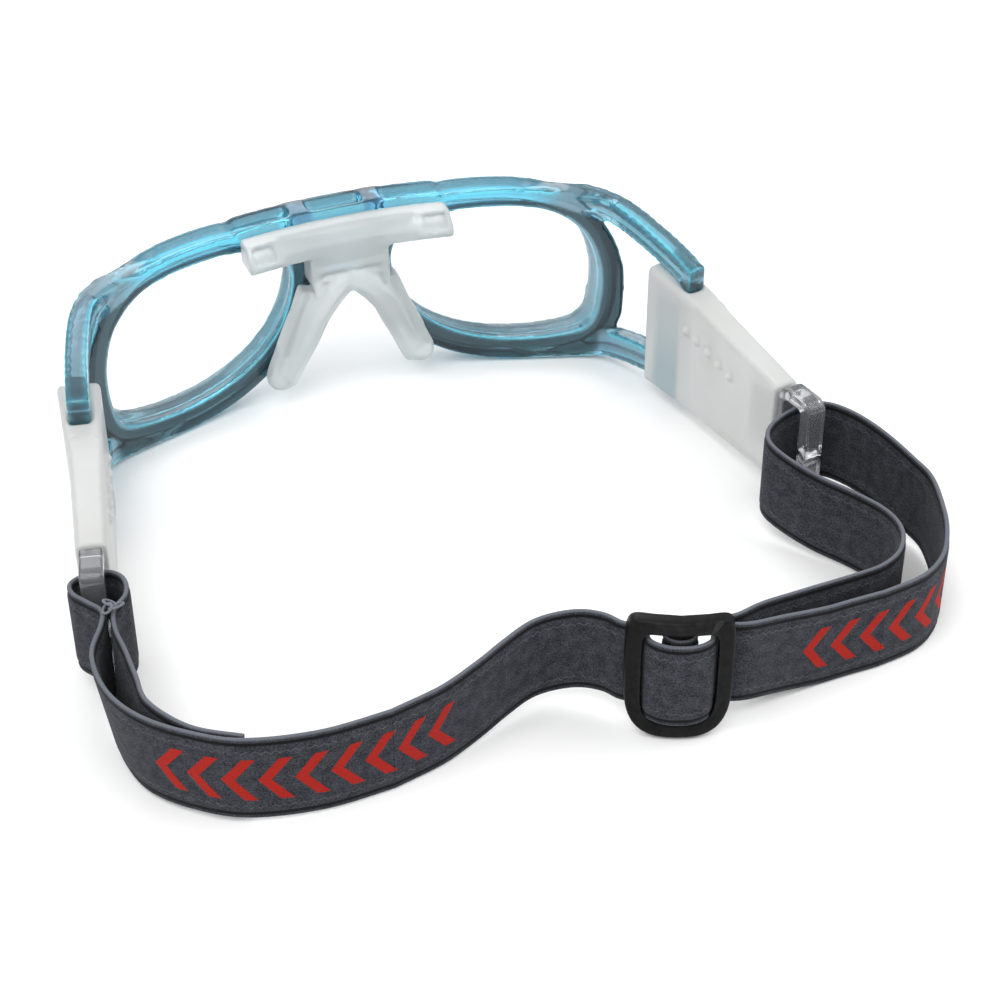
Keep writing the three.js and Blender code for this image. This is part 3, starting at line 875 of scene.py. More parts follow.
@dataclass
class Band:
    """A stretch of strap standing on its edge along a route."""

    name: str
    route: Sequence[Sequence[float]]
    step: float = 1.0
    section: StrapSection = StrapSection()
    thin: float = 1.0
    start_length: float = 0.0
    closed: bool = False
    slider_route: bool = False
    fineness: int = 24

    def path(self) -> list[Vector]:
        """Follows the route's smooth curve in even steps.

        Returns:
            The stations: x, y, height and lean, in millimetres.
        """
        rows = [Vector((*row, 0.0)[:4]) for row in self.route]
        fine: list[Vector] = []
        count = len(rows)
        spans = count if self.closed else count - 1
        for i in range(spans):
            near = [rows[self.wrapped(i + k, count)] for k in (-1, 0, 1, 2)]
            fine.extend(catmull_rom(near, j / self.fineness) for j in range(self.fineness))
        fine.append(rows[0].copy() if self.closed else rows[-1].copy())
        return even_steps(fine, self.step)

    def wrapped(self, index: int, count: int) -> int:
        """Brings an index inside, round a closed route or to the end of an open one."""
        return index % count if self.closed else min(max(index, 0), count - 1)

    def build(self) -> tuple[bpy.types.Object, float]:
        """Sweeps the section along the route.

        Returns:
            The piece, and its length in millimetres.
        """
        stations = self.path()
        outline = self.section.outline()
        mesh = bmesh.new()
        layer = mesh.loops.layers.uv.new("strap_map")
        rings = []
        lengths = [self.start_length]
        for a, b in zip(stations, stations[1:]):
            lengths.append(lengths[-1] + (b.xyz - a.xyz).length)
        if self.closed:
            stations = stations[:-1]
        count = len(stations)
        for i, here in enumerate(stations):
            before = stations[self.wrapped(i - 1, count)]
            after = stations[self.wrapped(i + 1, count)]
            tangent = (after.xyz - before.xyz).normalized()
            across = Vector((tangent.y, -tangent.x, 0)).normalized()
            spots = (self.point(here, across, t * self.thin, h) for t, h in outline)
            rings.append([mesh.verts.new(spot) for spot in spots])
        spans = count if self.closed else count - 1
        size = len(outline)
        for i in range(spans):
            near, far = rings[i], rings[(i + 1) % count]
            for j in range(size):
                k = (j + 1) % size
                face = mesh.faces.new((near[j], far[j], far[k], near[k]))
                here, there = lengths[i], lengths[i + 1]
                corners = [(here, j), (there, j), (there, k), (here, k)]
                for loop, (along, row) in zip(face.loops, corners):
                    loop[layer].uv = (along * MM, outline[row][1] * MM)
        if not self.closed:
            self.cap(mesh, layer, rings[0], lengths[0], outline)
            self.cap(mesh, layer, rings[-1], lengths[-1], outline)
        bmesh.ops.recalc_face_normals(mesh, faces=mesh.faces)
        data = bpy.data.meshes.new(self.name)
        mesh.to_mesh(data)
        mesh.free()
        piece = bpy.data.objects.new(self.name, data)
        bpy.context.scene.collection.objects.link(piece)
        smooth(piece, 60)
        return piece, lengths[-1] - lengths[0]

    @staticmethod
    def cap(mesh: bmesh.types.BMesh, layer: object, ring: list, along: float,
            outline: list[tuple[float, float]]) -> None:
        """Closes an end of the band.

        Args:
            mesh: The band's mesh.
            layer: Its map.
            ring: The vertices round the end.
            along: The end's length along the strap, in millimetres.
            outline: The section's points, one for each vertex.
        """
        face = mesh.faces.new(ring)
        rows = {vert: row for vert, row in zip(ring, outline)}
        for loop in face.loops:
            loop[layer].uv = (along * MM, rows[loop.vert][1] * MM)

    def point(self, here: Vector, across: Vector, t: float, h: float) -> Vector:
        """A point of the section at a station, leaning with height.

        Args:
            here: The station.
            across: The strap's level direction across its thickness.
            t: Millimetres across.
            h: Millimetres up the section.

        Returns:
            The point, in metres.
        """
        lean = here.w * (h / self.section.width)
        spot = here.xyz + across * (t + lean)
        z = max(here.z, 0) + h
        if self.slider_route:
            return SPACE.on_slider(spot.x, spot.y, z)
        return SPACE.place(spot.x, spot.y, z)


def catmull_rom(p: Sequence[Vector], t: float) -> Vector:
    """A point on the smooth curve through four points, between the middle two.

    Args:
        p: The four points.
        t: How far between the middle two, from 0 to 1.

    Returns:
        The point.
    """
    a = p[1] * 2
    b = (p[2] - p[0]) * t
    c = (p[0] * 2 - p[1] * 5 + p[2] * 4 - p[3]) * (t * t)
    d = (p[1] * 3 - p[0] - p[2] * 3 + p[3]) * (t * t * t)
    return (a + b + c + d) * 0.5


def even_steps(points: Sequence[Vector], step: float) -> list[Vector]:
    """Points an even distance apart along a fine line.

    Args:
        points: The fine line.
        step: About how far apart the new points are.

    Returns:
        The new points, with both ends kept.
    """
    lengths = [0.0]
    for a, b in zip(points, points[1:]):
        lengths.append(lengths[-1] + (b.xyz - a.xyz).length)
    count = max(2, round(lengths[-1] / step))
    result = []
    index = 0
    for i in range(count + 1):
        target = lengths[-1] * i / count
        while index < len(points) - 2 and lengths[index + 1] < target:
            index += 1
        span = lengths[index + 1] - lengths[index] or 1
        share = min(1, (target - lengths[index]) / span)
        result.append(points[index].lerp(points[index + 1], share))
    return result


# ---- frame and lenses -----------------------------------------------------


@dataclass
class Front:
    """The one-piece tinted frame and its lenses."""

    voxel: float = 0.55
    passes: int = 13
    wrap: float = 250.0
    opening: Sequence[tuple[float, float]] = (
        (12.6, 33), (15.5, 39), (25, 42.4), (40, 43.2), (51, 41.3), (57.5, 36), (60.6, 28),
        (60.9, 19), (58.8, 10.6), (52, 7.6), (40, 6.7), (29, 9.4), (20.5, 15), (15, 23),
    )
    brow_tops: Sequence[tuple[float, float]] = (
        (0, 47.4), (14, 47.4), (28, 47.5), (38, 47.3), (45, 47),
    )
    wall_depths: tuple[float, float] = (-7.5, -0.9)
    wall_tails: Sequence[Sequence[Point]] = (
        ((51, 3.1, 46.7), (56.5, 6.8, 46.4), (61, 10.8, 45.8), (65, 15.4, 44.9)),
        ((51, 9.3, 46.6), (56, 11.2, 46.2), (60.5, 13.4, 45.6)),
    )
    wall: StrapSection = StrapSection(
        width=2.9, half_face=0.85, half_groove=0.85, roll=0.85, groove_at=1.0)
    peg_at: Point = (72.6, 41.4, 35.9)
    peg_size: Point = (5.0, 3.4, 5.9)
    # Where the painted edge light begins and where it is full, in degrees of turn.
    glow_turns: tuple[float, float] = (12, 26)
    fineness: int = 16

    def edge_finder(self) -> KDTree:
        """Lays close points on both lens openings, to measure from.

        Returns:
            The points, x and z in millimetres.
        """
        rows = [Vector((x, z, 0, 0)) for x, z in self.opening]
        count = len(rows)
        fine = [
            catmull_rom([rows[(i + k) % count] for k in (-1, 0, 1, 2)], j / self.fineness)
            for i in range(count) for j in range(self.fineness)
        ]
        tree = KDTree(2 * len(fine))
        for index, point in enumerate(fine):
            tree.insert((point.x, point.y, 0), 2 * index)
            tree.insert((-point.x, point.y, 0), 2 * index + 1)
        tree.balance()
        return tree

    def brow_walls(self) -> list[bpy.types.Object]:
        """Makes the two walls of the brow channel, each in one sweep from arm to arm.

        Returns:
            The front wall and the rear wall.
        """
        walls = []
        for depth, tail in zip(self.wall_depths, self.wall_tails):
            half = [(x, depth + x * x / self.wrap, top) for x, top in self.brow_tops]
            half.extend(tail)
            route = [(x, y, top - self.wall.width) for x, y, top in half]
            other = [(-x, y, z) for x, y, z in reversed(route[1:])]
            piece, _ = Band("brow_wall", [*other, *route], step=1.5, section=self.wall).build()
            piece.data.uv_layers.remove(piece.data.uv_layers[0])
            walls.append(piece)
        return walls

    def shade(self, shell: bpy.types.Object) -> None:
        """Marks where the tint is deeper or bright, where painted light brightens the rounded
        edges, and where painted shade darkens the rims' rear faces and the brow's top.

        Args:
            shell: The moulded frame.
        """
        edges = self.edge_finder()

        def depth(place: Vector) -> float:
            """How far back a place lies from the curve of the front."""
            return place.y - place.x * place.x / self.wrap

        def rim_painted_shade(place: Vector, normal: Vector) -> float:
            """Painted shade: full on the flat rear of a rim, narrower above the lens.

            Args:
                place: The place, in millimetres.
                normal: The surface's normal there.

            Returns:
                The share.
            """
            distance = edges.find((place.x, place.z, 0))[2]
            reach = 1.9 + 6.0 * (1 - smoothstep(36, 43, place.z))
            band = smoothstep(0.3, 0.9, distance) * (1 - smoothstep(reach, reach + 0.8, distance))
            rear = smoothstep(-3.4, -2.2, depth(place))
            return band * rear * smoothstep(0.72, 0.93, normal.y + abs(normal.x) * 0.12)

        def brow_painted_shade(place: Vector, normal: Vector) -> float:
            """Painted shade: full along the front wall's top.

            Args:
                place: The place, in millimetres.
                normal: The surface's normal there.

            Returns:
                The share.
            """
            front = 1 - smoothstep(-6.4, -5.4, depth(place))
            high = smoothstep(38, 42, place.z)
            return 0.85 * front * high * smoothstep(0.2, 0.7, normal.z)

        def channel_shade(place: Vector, normal: Vector) -> float:
            """Full along the brow channel, between its two walls."""
            within = smoothstep(-7.2, -6.2, depth(place)) * smoothstep(38, 42, place.z)
            return within * (1 - smoothstep(46, 54, abs(place.x)))

        def block_shade(place: Vector, normal: Vector) -> float:
            """Full on the two cross blocks of the bridge."""
            high = 0.8 * smoothstep(45.6, 46.6, place.z)
            return high * (1 - smoothstep(2.2, 2.8, abs(abs(place.x) - 9)))

        shade_layer(shell, "channel_shade", channel_shade)
        # The edge layer is painted light: bright cyan on the rounded edges.
        edge_layer(shell, "painted_edge_light", *self.glow_turns, passes=1)
        shade_layer(shell, "block_shade", block_shade)
        # The rim and brow layers are painted shade: dark on the rims' rear faces and on the brow's
        # top.
        shade_layer(shell, "rim_painted_shade", rim_painted_shade)
        shade_layer(shell, "brow_painted_shade", brow_painted_shade)

    def build(self, workshop: Workshop) -> None:
        """Moulds the frame and dresses the lenses.

        Args:
            workshop: The shared node groups.
        """
        x, y, z = self.peg_at
        pegs = [
            block(SPACE.place(side.value * x, y, z), self.peg_size,
                  (0, 0, -side.value * SPACE.temple_splay))
            for side in Side
        ]
        shell = join([copy_of("frame"), *self.brow_walls(), *pegs], "frame_shell")
        mould(shell, self.voxel, self.passes)
        self.shade(shell)
        dress(shell, FRAME_TINT.material(workshop))
        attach(shell, "root")
        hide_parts("frame")
        clear = LensFinish().material()
        for side in Side:
            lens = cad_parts[f"{side.label}_lens"]
            for material_slot in lens.material_slots:
                material_slot.material = clear
        log.info("frame shell: %d faces", len(shell.data.polygons))


# ---- nose and brow pad ----------------------------------------------------


@dataclass
class NosePad:
    """The soft T-shaped moulding: a brow bar, a ribbed box and two nose legs."""

    voxel: float = 0.4
    rough_passes: int = 2
    passes: int = 5
    wrap: float = 250.0
    end_block: float = 20.8
    end_turn: float = 0.16
    face_lean: float = math.radians(40)
    face_at: tuple[float, float] = (6.5, 43.9)
    box_face: float = 8.2
    rib_heights: Sequence[float] = (31.6, 34.6, 37.2)
    rib_size: Point = (15, 1.6, 1.1)
    wall_at: tuple[float, float] = (8.4, 34.4)
    wall_size: Point = (1.8, 1.8, 7.2)
    leg_flesh: Sequence[tuple[Point, Point, float]] = (
        ((11.2, 4.9, 26.5), (5, 5, 10), 0.35), ((14.0, 4.7, 19.4), (5.4, 5, 10), 0.42),
        ((16.9, 4.4, 12.8), (5, 4.6, 9), 0.4),
    )
    tip: Point = (17.9, 4.0, 8.2)
    tip_radius: float = 3.5

    def bar_point(self, x: float, out: float, up: float) -> Vector:
        """Finds a point by the bar's slanted rear face.

        Args:
            x: Millimetres to the wearer's left.
            out: Millimetres out of the face.
            up: Millimetres up along the face from its middle line.

        Returns:
            The point, in metres.
        """
        c, s = math.cos(self.face_lean), math.sin(self.face_lean)
        y, z = self.face_at
        return SPACE.place(x, y + out * c - up * s + x * x / self.wrap, z + out * s + up * c)

    def bar_details(self) -> list[bpy.types.Object]:
        """Makes the ridge along the bar and the raised block at each of its ends.

        Returns:
            The shapes.
        """
        shapes = [block(self.bar_point(0, 0.1, 0.9), (31, 1.8, 2.2), (self.face_lean, 0, 0))]
        for side in Side:
            middle = self.bar_point(side.value * self.end_block, 0.1, 0)
            turn = (self.face_lean, 0, side.value * self.end_turn)
            shapes.append(block(middle, (8, 2, 6.2), turn))
        return shapes

    def box_details(self) -> list[bpy.types.Object]:
        """Makes the ribs across the box and the wall at each of its sides.

        Returns:
            The shapes.
        """
        shapes = [
            block(SPACE.place(0, self.box_face, z), self.rib_size) for z in self.rib_heights
        ]
        x, z = self.wall_at
        for side in Side:
            shapes.append(block(SPACE.place(side.value * x, self.box_face, z), self.wall_size))
        return shapes

    def legs(self) -> list[bpy.types.Object]:
        """Makes the thick parts and the round tips of the nose legs.

        Returns:
            The shapes.
        """
        shapes = []
        for side in Side:
            for (x, y, z), size, slope in self.leg_flesh:
                middle = SPACE.place(side.value * x, y, z)
                shapes.append(block(middle, size, (0, -side.value * slope, 0)))
            x, y, z = self.tip
            shapes.append(dome(SPACE.place(side.value * x, y, z), self.tip_radius))
        return shapes

    def build(self, workshop: Workshop) -> None:
        """Builds the pad from the CAD solid and its raised and sunk details.

        Args:
            workshop: The shared node groups.
        """
        shapes = [copy_of("nose_brow_pad"), *self.bar_details(), *self.box_details(), *self.legs()]
        pad = join(shapes, "nose_and_brow_pad")
        mould(pad, self.voxel, self.rough_passes)
        pockets = [
            block(self.bar_point(side.value * self.end_block, 1.4, 0.1), (5.4, 2.2, 3.9),
                  (self.face_lean, 0, side.value * self.end_turn))
            for side in Side
        ]
        carve(pad, pockets)
        mould(pad, self.voxel, self.passes)
        dress(pad, SILICONE.material(workshop))
        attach(pad, "pad")
        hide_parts("nose_brow_pad")
        log.info("nose and brow pad: %d faces", len(pad.data.polygons))


# ---- temples --------------------------------------------------------------


@dataclass
class Temple:
    """A soft sleeve that bends behind the frame's plate, with its rigid strap hook."""

    side: Side
    voxel: float = 0.45
    passes: int = 4
    flex_at: float = 16.8
    flex_reach: float = 9.0
    flex_middle: tuple[float, float] = (4.0, 18.0)
    thickness_at_flex: float = 8.0
    filler_at: tuple[float, float] = (0.3, 17.4)
    filler_size: tuple[float, float] = (6.0, 28.5)
    filler_inset: float = 0.1
    dot_radius: float = 1.15
    dot_count: int = 5
    dot_first: Point = (-0.15, 15.2, 25.0)
    dot_step: tuple[float, float] = (4.45, -0.8)
    hook_voxel: float = 0.32
    hook_passes: int = 20

    def dot_centres(self) -> list[Vector]:
        """Finds the middles of the raised dots on the sleeve's inner face.

        Returns:
            The points, in metres, from front to back.
        """
        across, along, z = self.dot_first
        back, up = self.dot_step
        return [
            SPACE.on_temple(self.side, across, along + i * back, z + i * up)
            for i in range(self.dot_count)
        ]

    def build_sleeve(self, silicone: bpy.types.Material) -> bpy.types.Object:
        """Joins the two CAD lengths into one moulding and adds its grip dots.

        Args:
            silicone: The sleeve's material.

        Returns:
            The sleeve.
        """
        name = self.side.label
        back, z = self.filler_at
        middle = SPACE.on_temple(self.side, self.thickness_at_flex / 2, self.flex_at + back, z)
        turn = (0, 0, -self.side.value * SPACE.temple_splay)
        size = (self.thickness_at_flex - self.filler_inset, *self.filler_size)
        filler = block(middle, size, turn)
        dots = [dome(centre, self.dot_radius) for centre in self.dot_centres()]
        lengths = [copy_of(f"{name}_sleeve_{length}") for length in ("front", "rear")]
        sleeve = join([*lengths, filler, *dots], f"{name}_sleeve")
        mould(sleeve, self.voxel, self.passes)
        self.shade(sleeve)
        dress(sleeve, silicone)
        across, z = self.flex_middle
        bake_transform(sleeve)
        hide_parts(f"{name}_sleeve_front", f"{name}_sleeve_rear")
        return sleeve

    def shade(self, sleeve: bpy.types.Object) -> None:
        """Marks where the frame's tinted plate shows through, and paints a highlight on the grip
        dots.

        Args:
            sleeve: The moulded sleeve.
        """
        c, s = math.cos(SPACE.temple_splay), math.sin(SPACE.temple_splay)

        def plate_showing(place: Vector, normal: Vector) -> float:
            """Strongest low down, with a soft outline and a clearer strip in front.

            Args:
                place: The place, in millimetres.
                normal: The surface's normal there; not used.

            Returns:
                The share.
            """
            x = self.side.value * place.x - SPACE.temple_origin[0]
            y = place.y - SPACE.temple_origin[1]
            along = x * s + y * c
            inside = smoothstep(1.5, 5.5, along) * (1 - smoothstep(11.4, 13.6, along))
            low = 1 - 0.55 * smoothstep(8, 26, place.z)
            return 0.7 * inside * low * (1 - smoothstep(27, 33, place.z))

        dots = [(centre - SPACE.offset()) / MM for centre in self.dot_centres()]

        def painted_dot_highlight(place: Vector, normal: Vector) -> float:
            """Painted highlight: full on the raised dots."""
            return 1 - smoothstep(0.7, 1.3, min((place - dot).length for dot in dots))

        shade_layer(sleeve, "plate_showing", plate_showing)
        shade_layer(sleeve, "painted_dot_highlight", painted_dot_highlight)

    def build_hook(self, clear: bpy.types.Material) -> bpy.types.Object:
        """Rounds the hook's edges.

        Args:
            clear: The hook's material.

        Returns:
            The hook.
        """
        name = self.side.label
        hook = join([copy_of(f"{name}_strap_hook")], f"{name}_hook")
        mould(hook, self.hook_voxel, self.hook_passes)
        dress(hook, clear)
        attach(hook, f"{name}_temple")
        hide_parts(f"{name}_strap_hook")
        return hook

    def build(self, silicone: bpy.types.Material, clear: bpy.types.Material) -> None:
        """Builds the sleeve and the hook.

        Args:
            silicone: The sleeve's material.
            clear: The hook's material.
        """
        sleeve = self.build_sleeve(silicone)
        hook = self.build_hook(clear)
        faces = [len(piece.data.polygons) for piece in (sleeve, hook)]
        log.info("%s temple: %d and %d faces", self.side.label, *faces)


# ---- strap ----------------------------------------------------------------


@dataclass
class HeadStrap:
    """The elastic strap, in the stretches that its joints need."""

    left_run: Sequence[Sequence[float]] = (
        (-11.8, 138.75, 4.5), (-10.4, 137.4, 4.5), (-8.6, 134, 4.3), (-5, 130.7, 3.8),
        (0, 128.8, 3), (5, 128.6, 2.2), (11, 130.6, 1.2), (18, 133.9, 0.5), (27, 137.6, 0),
        (38, 140.3, 0),
    )
    left_loop: Sequence[Sequence[float]] = (
        (38, 140.3, 0), (52, 141, 0.3), (66, 138.4, 0.8), (75, 132.4, 0.8),
        (81.6, 124.2, 0.6, -0.6), (84, 115, 0.7, -2.2), (84, 106, 2, -2.6), (82.6, 100, 4, -0.6),
        (82, 96.5, 4.8), (84, 93, 5), (86.2, 89, 5), (85.6, 85.6, 5), (81.5, 84.1, 5),
        (77.4, 85.2, 5), (75.6, 88.5, 5), (76.4, 93, 4.8), (79.7, 96.8, 4.6),
        (81.6, 101, 3.6, -1), (82.7, 106, 2.1, -2.6), (82.8, 113, 0.6, -3),
        (81.1, 121.4, 0.4, -1.6), (74.5, 131.2, 0.7, -0.4), (65.6, 137.3, 0.8),
    )
    right_inner: Sequence[Sequence[float]] = (
        (-29.4, 143.8, 4.5), (-33, 143.7, 4.2), (-40, 140.6, 2.5), (-50, 138, 0.5), (-62, 137, 0),
    )
    right_loop: Sequence[Sequence[float]] = (
        (-62, 137, 0), (-70, 136.2, 0), (-76, 133, 0), (-79.9, 127, 0), (-80.2, 120, 0),
        (-77, 113, 0.5), (-72, 106, 1.5), (-68, 99.4, 3), (-66, 94.4, 4.4), (-67.2, 90.6, 4.9),
        (-70.6, 87.6, 5), (-75.4, 85.4, 5), (-80.8, 84.3, 5), (-84.8, 86, 5), (-87.6, 89.8, 4.9),
        (-89.8, 95, 4.6), (-92, 101, 3.5), (-93.8, 107.6, 2), (-94.6, 114.4, 1), (-91.8, 124, 0),
        (-88, 131.5, 0), (-83, 138, 0), (-76, 142.3, 0), (-66, 144, 0),
    )
    right_outer: Sequence[Sequence[float]] = (
        (-66, 144, 0), (-54, 144.2, 0), (-42, 145.4, 2), (-34, 147, 4), (-29.7, 146.2, 4.5),
    )
    panel: Sequence[Sequence[float]] = (
        (-9.4, -3.3, 4.2), (-8, -3.3, 4.2), (-6.8, -2.2, 4.2), (-6.5, -0.2, 4.2),
        (-5.8, 1.9, 4.2), (-3.2, 3.6, 4.2), (0, 4.1, 4.2), (3.2, 3.6, 4.2), (5.8, 1.9, 4.2),
        (6.5, -0.2, 4.2), (6.8, -2.2, 4.2), (8, -3.3, 4.2), (9.4, -3.3, 4.2),
    )

    left_bars: tuple[int, int] = (7, 15)
    right_bars: tuple[int, int] = (26, 31)
    slider_grip: tuple[float, float, float] = (10.6, 0, 10)
    left_run_start: Point = (30, 138, 10)
    right_run_start: Point = (-60, 140, 10)
    left_hold: tuple[Point, Point] = ((80, 124, 10), (80, 92, 10))
    right_hold: tuple[Point, Point] = ((-80, 122, 10), (-80, 92, 10))
    end_loop_size: Point = (3.1, 2.3, 4.2)
    end_loop_points: int = 16

    @staticmethod
    def stretch(name: str, route: Sequence[Sequence[float]], material: bpy.types.Material,
                held: str, start_length: float = 0.0,
                **settings: object) -> tuple[bpy.types.Object, float]:
        """Builds one stretch of strap.

        Args:
            name: The piece's name.
            route: Its route in millimetres.
            material: Its finish.
            held: How the cloth is held; not used.
            start_length: The pattern's length at its start, in millimetres.
            **settings: Further values for the band.

        Returns:
            The piece, and its length in millimetres.
        """
        piece, length = Band(name, route, start_length=start_length, **settings).build()
        dress(piece, material)
        log.info("%s: %.1f mm of strap", name, length)
        return piece, length

    def build(self, workshop: Workshop) -> None:
        """Builds every stretch, and hands the two on the slider to the slider's body.

        Args:
            workshop: The shared node groups.
        """
        plain = StrapFinish().material(workshop)
        left = StrapFinish("left_strap_marked", motif_bars=self.left_bars).material(workshop)
        right = StrapFinish("right_strap_marked", motif_bars=self.right_bars).material(workshop)
        self.build_left(left)
        self.build_right(plain, right)
        self.build_on_slider(plain)

    def build_left(self, marked: bpy.types.Material) -> None:
        """Builds the run from the slider, and the loop sewn round the left hook.

        Args:
            marked: The finish with the left row of bars.
        """
        run, length = self.stretch("strap_left_run", self.left_run, marked, "stretched")
        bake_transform(run)
        loop, _ = self.stretch("strap_left_loop", self.left_loop, marked, "folded", length)
        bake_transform(loop)
        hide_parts("strap_left")

    def build_right(self, plain: bpy.types.Material, marked: bpy.types.Material) -> None:
        """Builds the two layers beside the slider, and the loop through the right hook.

        Args:
            plain: The finish without bars.
            marked: The finish with the right row of bars.
        """
        inner, first = self.stretch("strap_right_inner", self.right_inner, plain, "stretched")
        loop, second = self.stretch("strap_right_loop", self.right_loop, marked, "folded", first)
        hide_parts("strap_right")
        outer, _ = self.stretch("strap_right_outer", self.right_outer, marked, "stretched",
                                first + second)
        for piece in (inner, outer):
            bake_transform(piece)
        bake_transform(loop)

    def build_on_slider(self, plain: bpy.types.Material) -> None:
        """Builds the strap over the slider's centre bar, and its sewn end round that bar.

        Args:
            plain: The finish without bars.
        """
        panel, _ = self.stretch("strap_over_slider", self.panel, plain, "stretched", step=0.5,
                                slider_route=True)
        half_width, half_depth, z = self.end_loop_size
        angles = (i * math.tau / self.end_loop_points for i in range(self.end_loop_points))
        ring = [(half_width * math.cos(a), half_depth * math.sin(a), z) for a in angles]
        end_loop, _ = self.stretch("strap_end_loop", ring, plain, "folded", closed=True, thin=0.7,
                                   step=0.6, slider_route=True)
        for piece, node in ((panel, "strap_slider_panel"), (end_loop, "strap_slider_loop")):
            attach(piece, "slider")
            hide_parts(node)


@dataclass
class LoopTack:
    """The thread tack that gathers the left loop's two upper edges."""

    thread: float = 0.28
    tilt: float = 0.5
    hold: tuple[Point, Point] = ((80, 124, 10), (80, 92, 10))
    turns: Sequence[tuple[Point, float, float]] = (
        ((79.2, 97.0, 25.2), 1.5, 0.2), ((81.0, 97.2, 25.3), 1.1, 1.0),
        ((80.2, 95.8, 25.4), 1.3, -0.7),
    )

    def build(self) -> None:
        """Makes the small loops of thread."""
        loops = []
        for (x, y, z), radius, turn in self.turns:
            deselect_all()
            bpy.ops.mesh.primitive_torus_add(
                location=SPACE.place(x, y, z), rotation=(self.tilt, turn * 0.4, turn),
                major_segments=24, minor_segments=8,
                major_radius=radius * MM, minor_radius=self.thread * MM)
            loops.append(settle(bpy.context.object))
        tack = join(loops, "left_loop_stitches")
        activate(tack)
        bpy.ops.object.shade_smooth()
        dress(tack, ThreadFinish().material())
        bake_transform(tack)
        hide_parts("left_loop_tack")
        log.info("loop tack: %d faces", len(tack.data.polygons))


@dataclass
class Slider:
    """The bowed black slider: a rounded plate with a window, and a bar behind the strap."""

    width: float = 21.3
    height: float = 29.0
    thickness: float = 3.2
    window: tuple[float, float] = (14.9, 22.6)
    outline_points: int = 96
    squareness: tuple[float, float] = (8.0, 3.4)
    window_squareness: tuple[float, float] = (9.0, 4.4)
    bow: float = 2.3
    set_back: float = 0.5
    edge: float = 0.5
    bar: tuple[float, float] = (3.2, 2.0)
    bar_out: float = 0.2
    bar_overlap: float = 1.6

    def outline(self, size: tuple[float, float], squareness: tuple[float, float]) -> list[Vector]:
        """Points round a shape that is squarer above than below.

        Args:
            size: Its width and height, in millimetres.
            squareness: The power of its curve above and below its middle.

        Returns:
            The points, along the strap and up.
        """
        points = []
        for i in range(self.outline_points):
            angle = math.tau * i / self.outline_points
            x, z = math.cos(angle), math.sin(angle)
            power = 2 / squareness[0 if z >= 0 else 1]
            along = math.copysign(abs(x) ** power * size[0] / 2, x)
            up = math.copysign(abs(z) ** power * size[1] / 2, z)
            points.append(Vector((along, 0, up)))
        return points

    @staticmethod
    def ring(points: Sequence[Vector]) -> bpy.types.Object:
        """Lays a closed line of edges.

        Args:
            points: The points it goes through.

        Returns:
            The line.
        """
        deselect_all()
        bpy.ops.mesh.primitive_circle_add(vertices=len(points), radius=1, fill_type="NOTHING")
        piece = bpy.context.object
        for vertex, point in zip(piece.data.vertices, points):
            vertex.co = point
        return piece

    def bend(self, piece: bpy.types.Object) -> None:
        """Bows the plate outward and puts it in its place on the strap.

        Args:
            piece: The plate, flat, in millimetres.
        """
        half = self.width / 2
        low = self.height / 2
        for vertex in piece.data.vertices:
            along, out, z = vertex.co
            out += self.bow * (1 - (along / half) ** 2) - self.set_back
            vertex.co = SPACE.on_slider(along, out, z + low)

    def build(self, workshop: Workshop) -> None:
        """Bridges the plate's outlines, rounds its edges and adds the bar.

        Args:
            workshop: The shared node groups.
        """
        outer = self.ring(self.outline((self.width, self.height), self.squareness))
        inner = self.ring(self.outline(self.window, self.window_squareness))
        slider = join([outer, inner], "slider_body")
        edit_all(slider, bpy.ops.mesh.bridge_edge_loops)
        edit_all(slider, bpy.ops.mesh.normals_make_consistent, inside=False)
        finish_modifier(slider, "SOLIDIFY", thickness=self.thickness, offset=0)
        finish_modifier(slider, "BEVEL", width=self.edge, segments=3, limit_method="ANGLE",
                        angle_limit=math.radians(40))
        self.bend(slider)
        bar = block(SPACE.on_slider(0, self.bar_out, self.height / 2),
                    (*self.bar, self.window[1] + self.bar_overlap), (0, 0, SPACE.slider_turn))
        slider = join([slider, bar], "slider_body")
        edit_all(slider, bpy.ops.mesh.normals_make_consistent, inside=False)
        smooth(slider, 50)
        dress(slider, BLACK_PLASTIC.material(workshop))
        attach(slider, "slider")
        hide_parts("strap_slider")
        log.info("slider: %d faces", len(slider.data.polygons))


# ---- studio ---------------------------------------------------------------


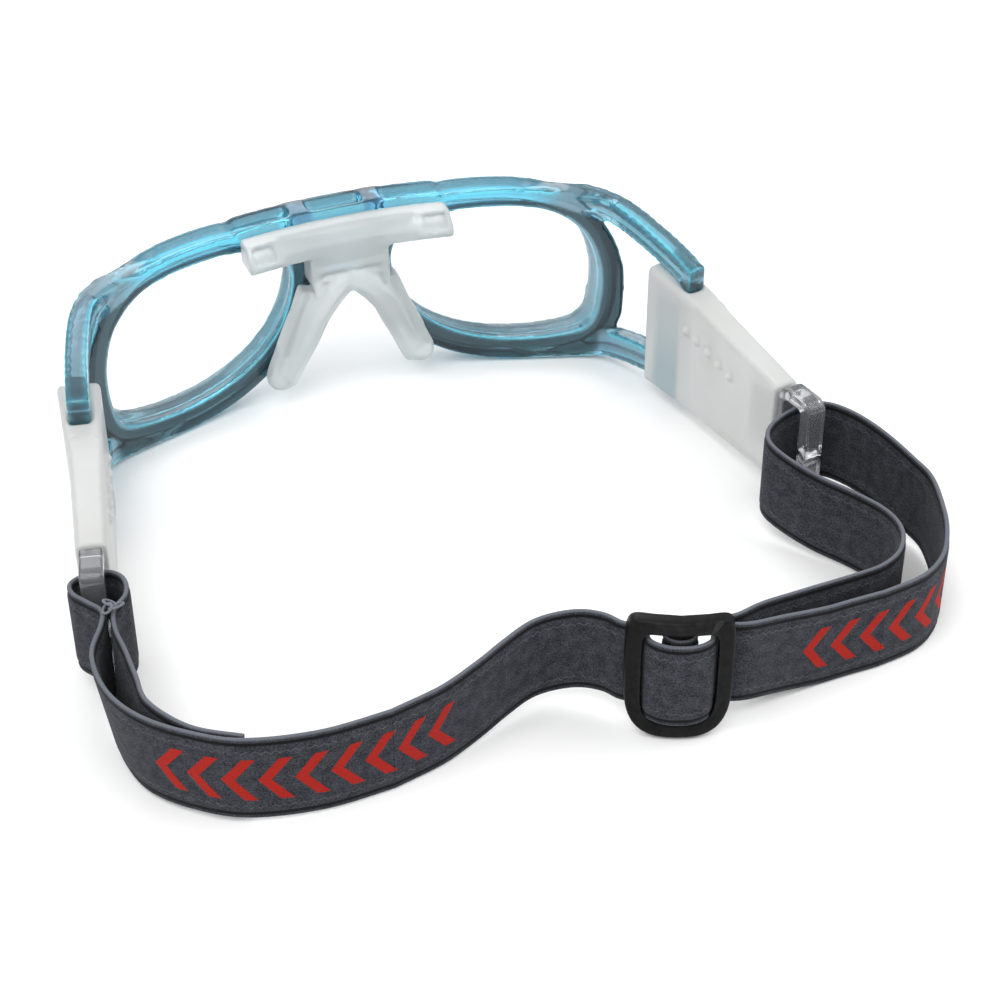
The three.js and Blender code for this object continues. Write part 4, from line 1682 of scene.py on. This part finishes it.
@dataclass(frozen=True)
class Studio:
    """The camera, the pale floor and the soft lights."""

    lens: float = 77.2
    azimuth: float = math.radians(158.2)
    elevation: float = math.radians(36.01)
    roll: float = math.radians(-0.3)
    stand: Point = (130.9, 428.6, 287.9)
    near: float = 0.01
    floor_size: float = 12.0
    floor_drop: float = 0.0002
    floor_colours: tuple[Colour, Colour] = ((0.93, 0.93, 0.93), (0.95, 0.95, 0.95))
    sky_colours: tuple[Colour, Colour] = ((0.10, 0.11, 0.12), (1.0, 1.0, 1.0))
    sky_strength: float = 0.85
    lamps: tuple[tuple[str, Point, float, float], ...] = (
        ("key", (0.5, 0.4, 0.9), 0.9, 7), ("fill", (-0.8, 0.3, 0.7), 0.9, 4),
        ("back", (-0.1, -0.9, 0.6), 0.8, 4),
    )

    def camera(self) -> None:
        """Places the camera behind and above the wearer's left."""
        data = bpy.data.cameras.new("camera")
        data.lens = self.lens
        data.clip_start = self.near
        camera = bpy.data.objects.new("camera", data)
        bpy.context.scene.collection.objects.link(camera)
        a, e = self.azimuth, self.elevation
        back = Vector((math.sin(a) * math.cos(e), -math.cos(a) * math.cos(e), math.sin(e)))
        right = (-back).cross(Vector((0, 0, 1))).normalized()
        up = right.cross(-back)
        turn = Matrix((right, up, back)).transposed().to_4x4()
        place = Matrix.Translation(SPACE.place(*self.stand))
        camera.matrix_world = place @ turn @ Matrix.Rotation(self.roll, 4, "Z")
        bpy.context.scene.camera = camera

    def floor(self) -> None:
        """Lays the pale floor."""
        deselect_all()
        bpy.ops.mesh.primitive_plane_add(size=self.floor_size, location=(0, 0, -self.floor_drop))
        floor = bpy.context.object
        floor.name = "floor"
        material, nodes, shader = new_material("pale_floor")
        grain = nodes.noise(object_coordinates(nodes), scale=40)
        low, high = ((*colour, 1) for colour in self.floor_colours)
        nodes.feed(shader.inputs["Base Color"], nodes.mix(grain, low, high))
        shader.inputs["Roughness"].default_value = 0.9
        shader.inputs["Specular IOR Level"].default_value = 0.1
        floor.data.materials.append(material)

    @staticmethod
    def light(name: str, place: Point, size: float, watts: float) -> None:
        """Hangs a soft square light that faces the goggles.

        Args:
            name: The light's name.
            place: Where it hangs, in metres.
            size: Its side, in metres.
            watts: Its power.
        """
        data = bpy.data.lights.new(name, "AREA")
        data.size = size
        data.energy = watts
        lamp = bpy.data.objects.new(name, data)
        bpy.context.scene.collection.objects.link(lamp)
        lamp.location = place
        lamp.rotation_euler = (Vector(place)).to_track_quat("Z", "Y").to_euler()

    def build(self) -> None:
        """Sets up the sky, the floor and the lights."""
        world = bpy.data.worlds.new("studio")
        world.use_nodes = True
        nodes = Nodes(world.node_tree)
        direction = nodes.add("ShaderNodeTexCoord").outputs["Generated"]
        sky = nodes.add("ShaderNodeSeparateXYZ", {0: direction})
        height = nodes.ramp(sky.outputs[2], 0.0, 0.55)
        background = world.node_tree.nodes["Background"]
        low, high = ((*colour, 1) for colour in self.sky_colours)
        nodes.feed(background.inputs["Color"], nodes.mix(height, low, high))
        background.inputs["Strength"].default_value = self.sky_strength
        bpy.context.scene.world = world
        bpy.context.scene.view_settings.view_transform = "Standard"
        self.floor()
        for lamp in self.lamps:
            self.light(*lamp)


def main() -> None:
    """Builds the studio and then the goggles, one sub-assembly after another."""
    studio = Studio()
    studio.camera()
    studio.build()
    workshop = Workshop()
    Front().build(workshop)
    NosePad().build(workshop)
    silicone = SLEEVE_SILICONE.material(workshop)
    clear = CLEAR_HOOK.material(workshop)
    for side in Side:
        Temple(side).build(silicone, clear)
    HeadStrap().build(workshop)
    LoopTack().build()
    Slider().build(workshop)


if __name__ == "__main__":
    main()
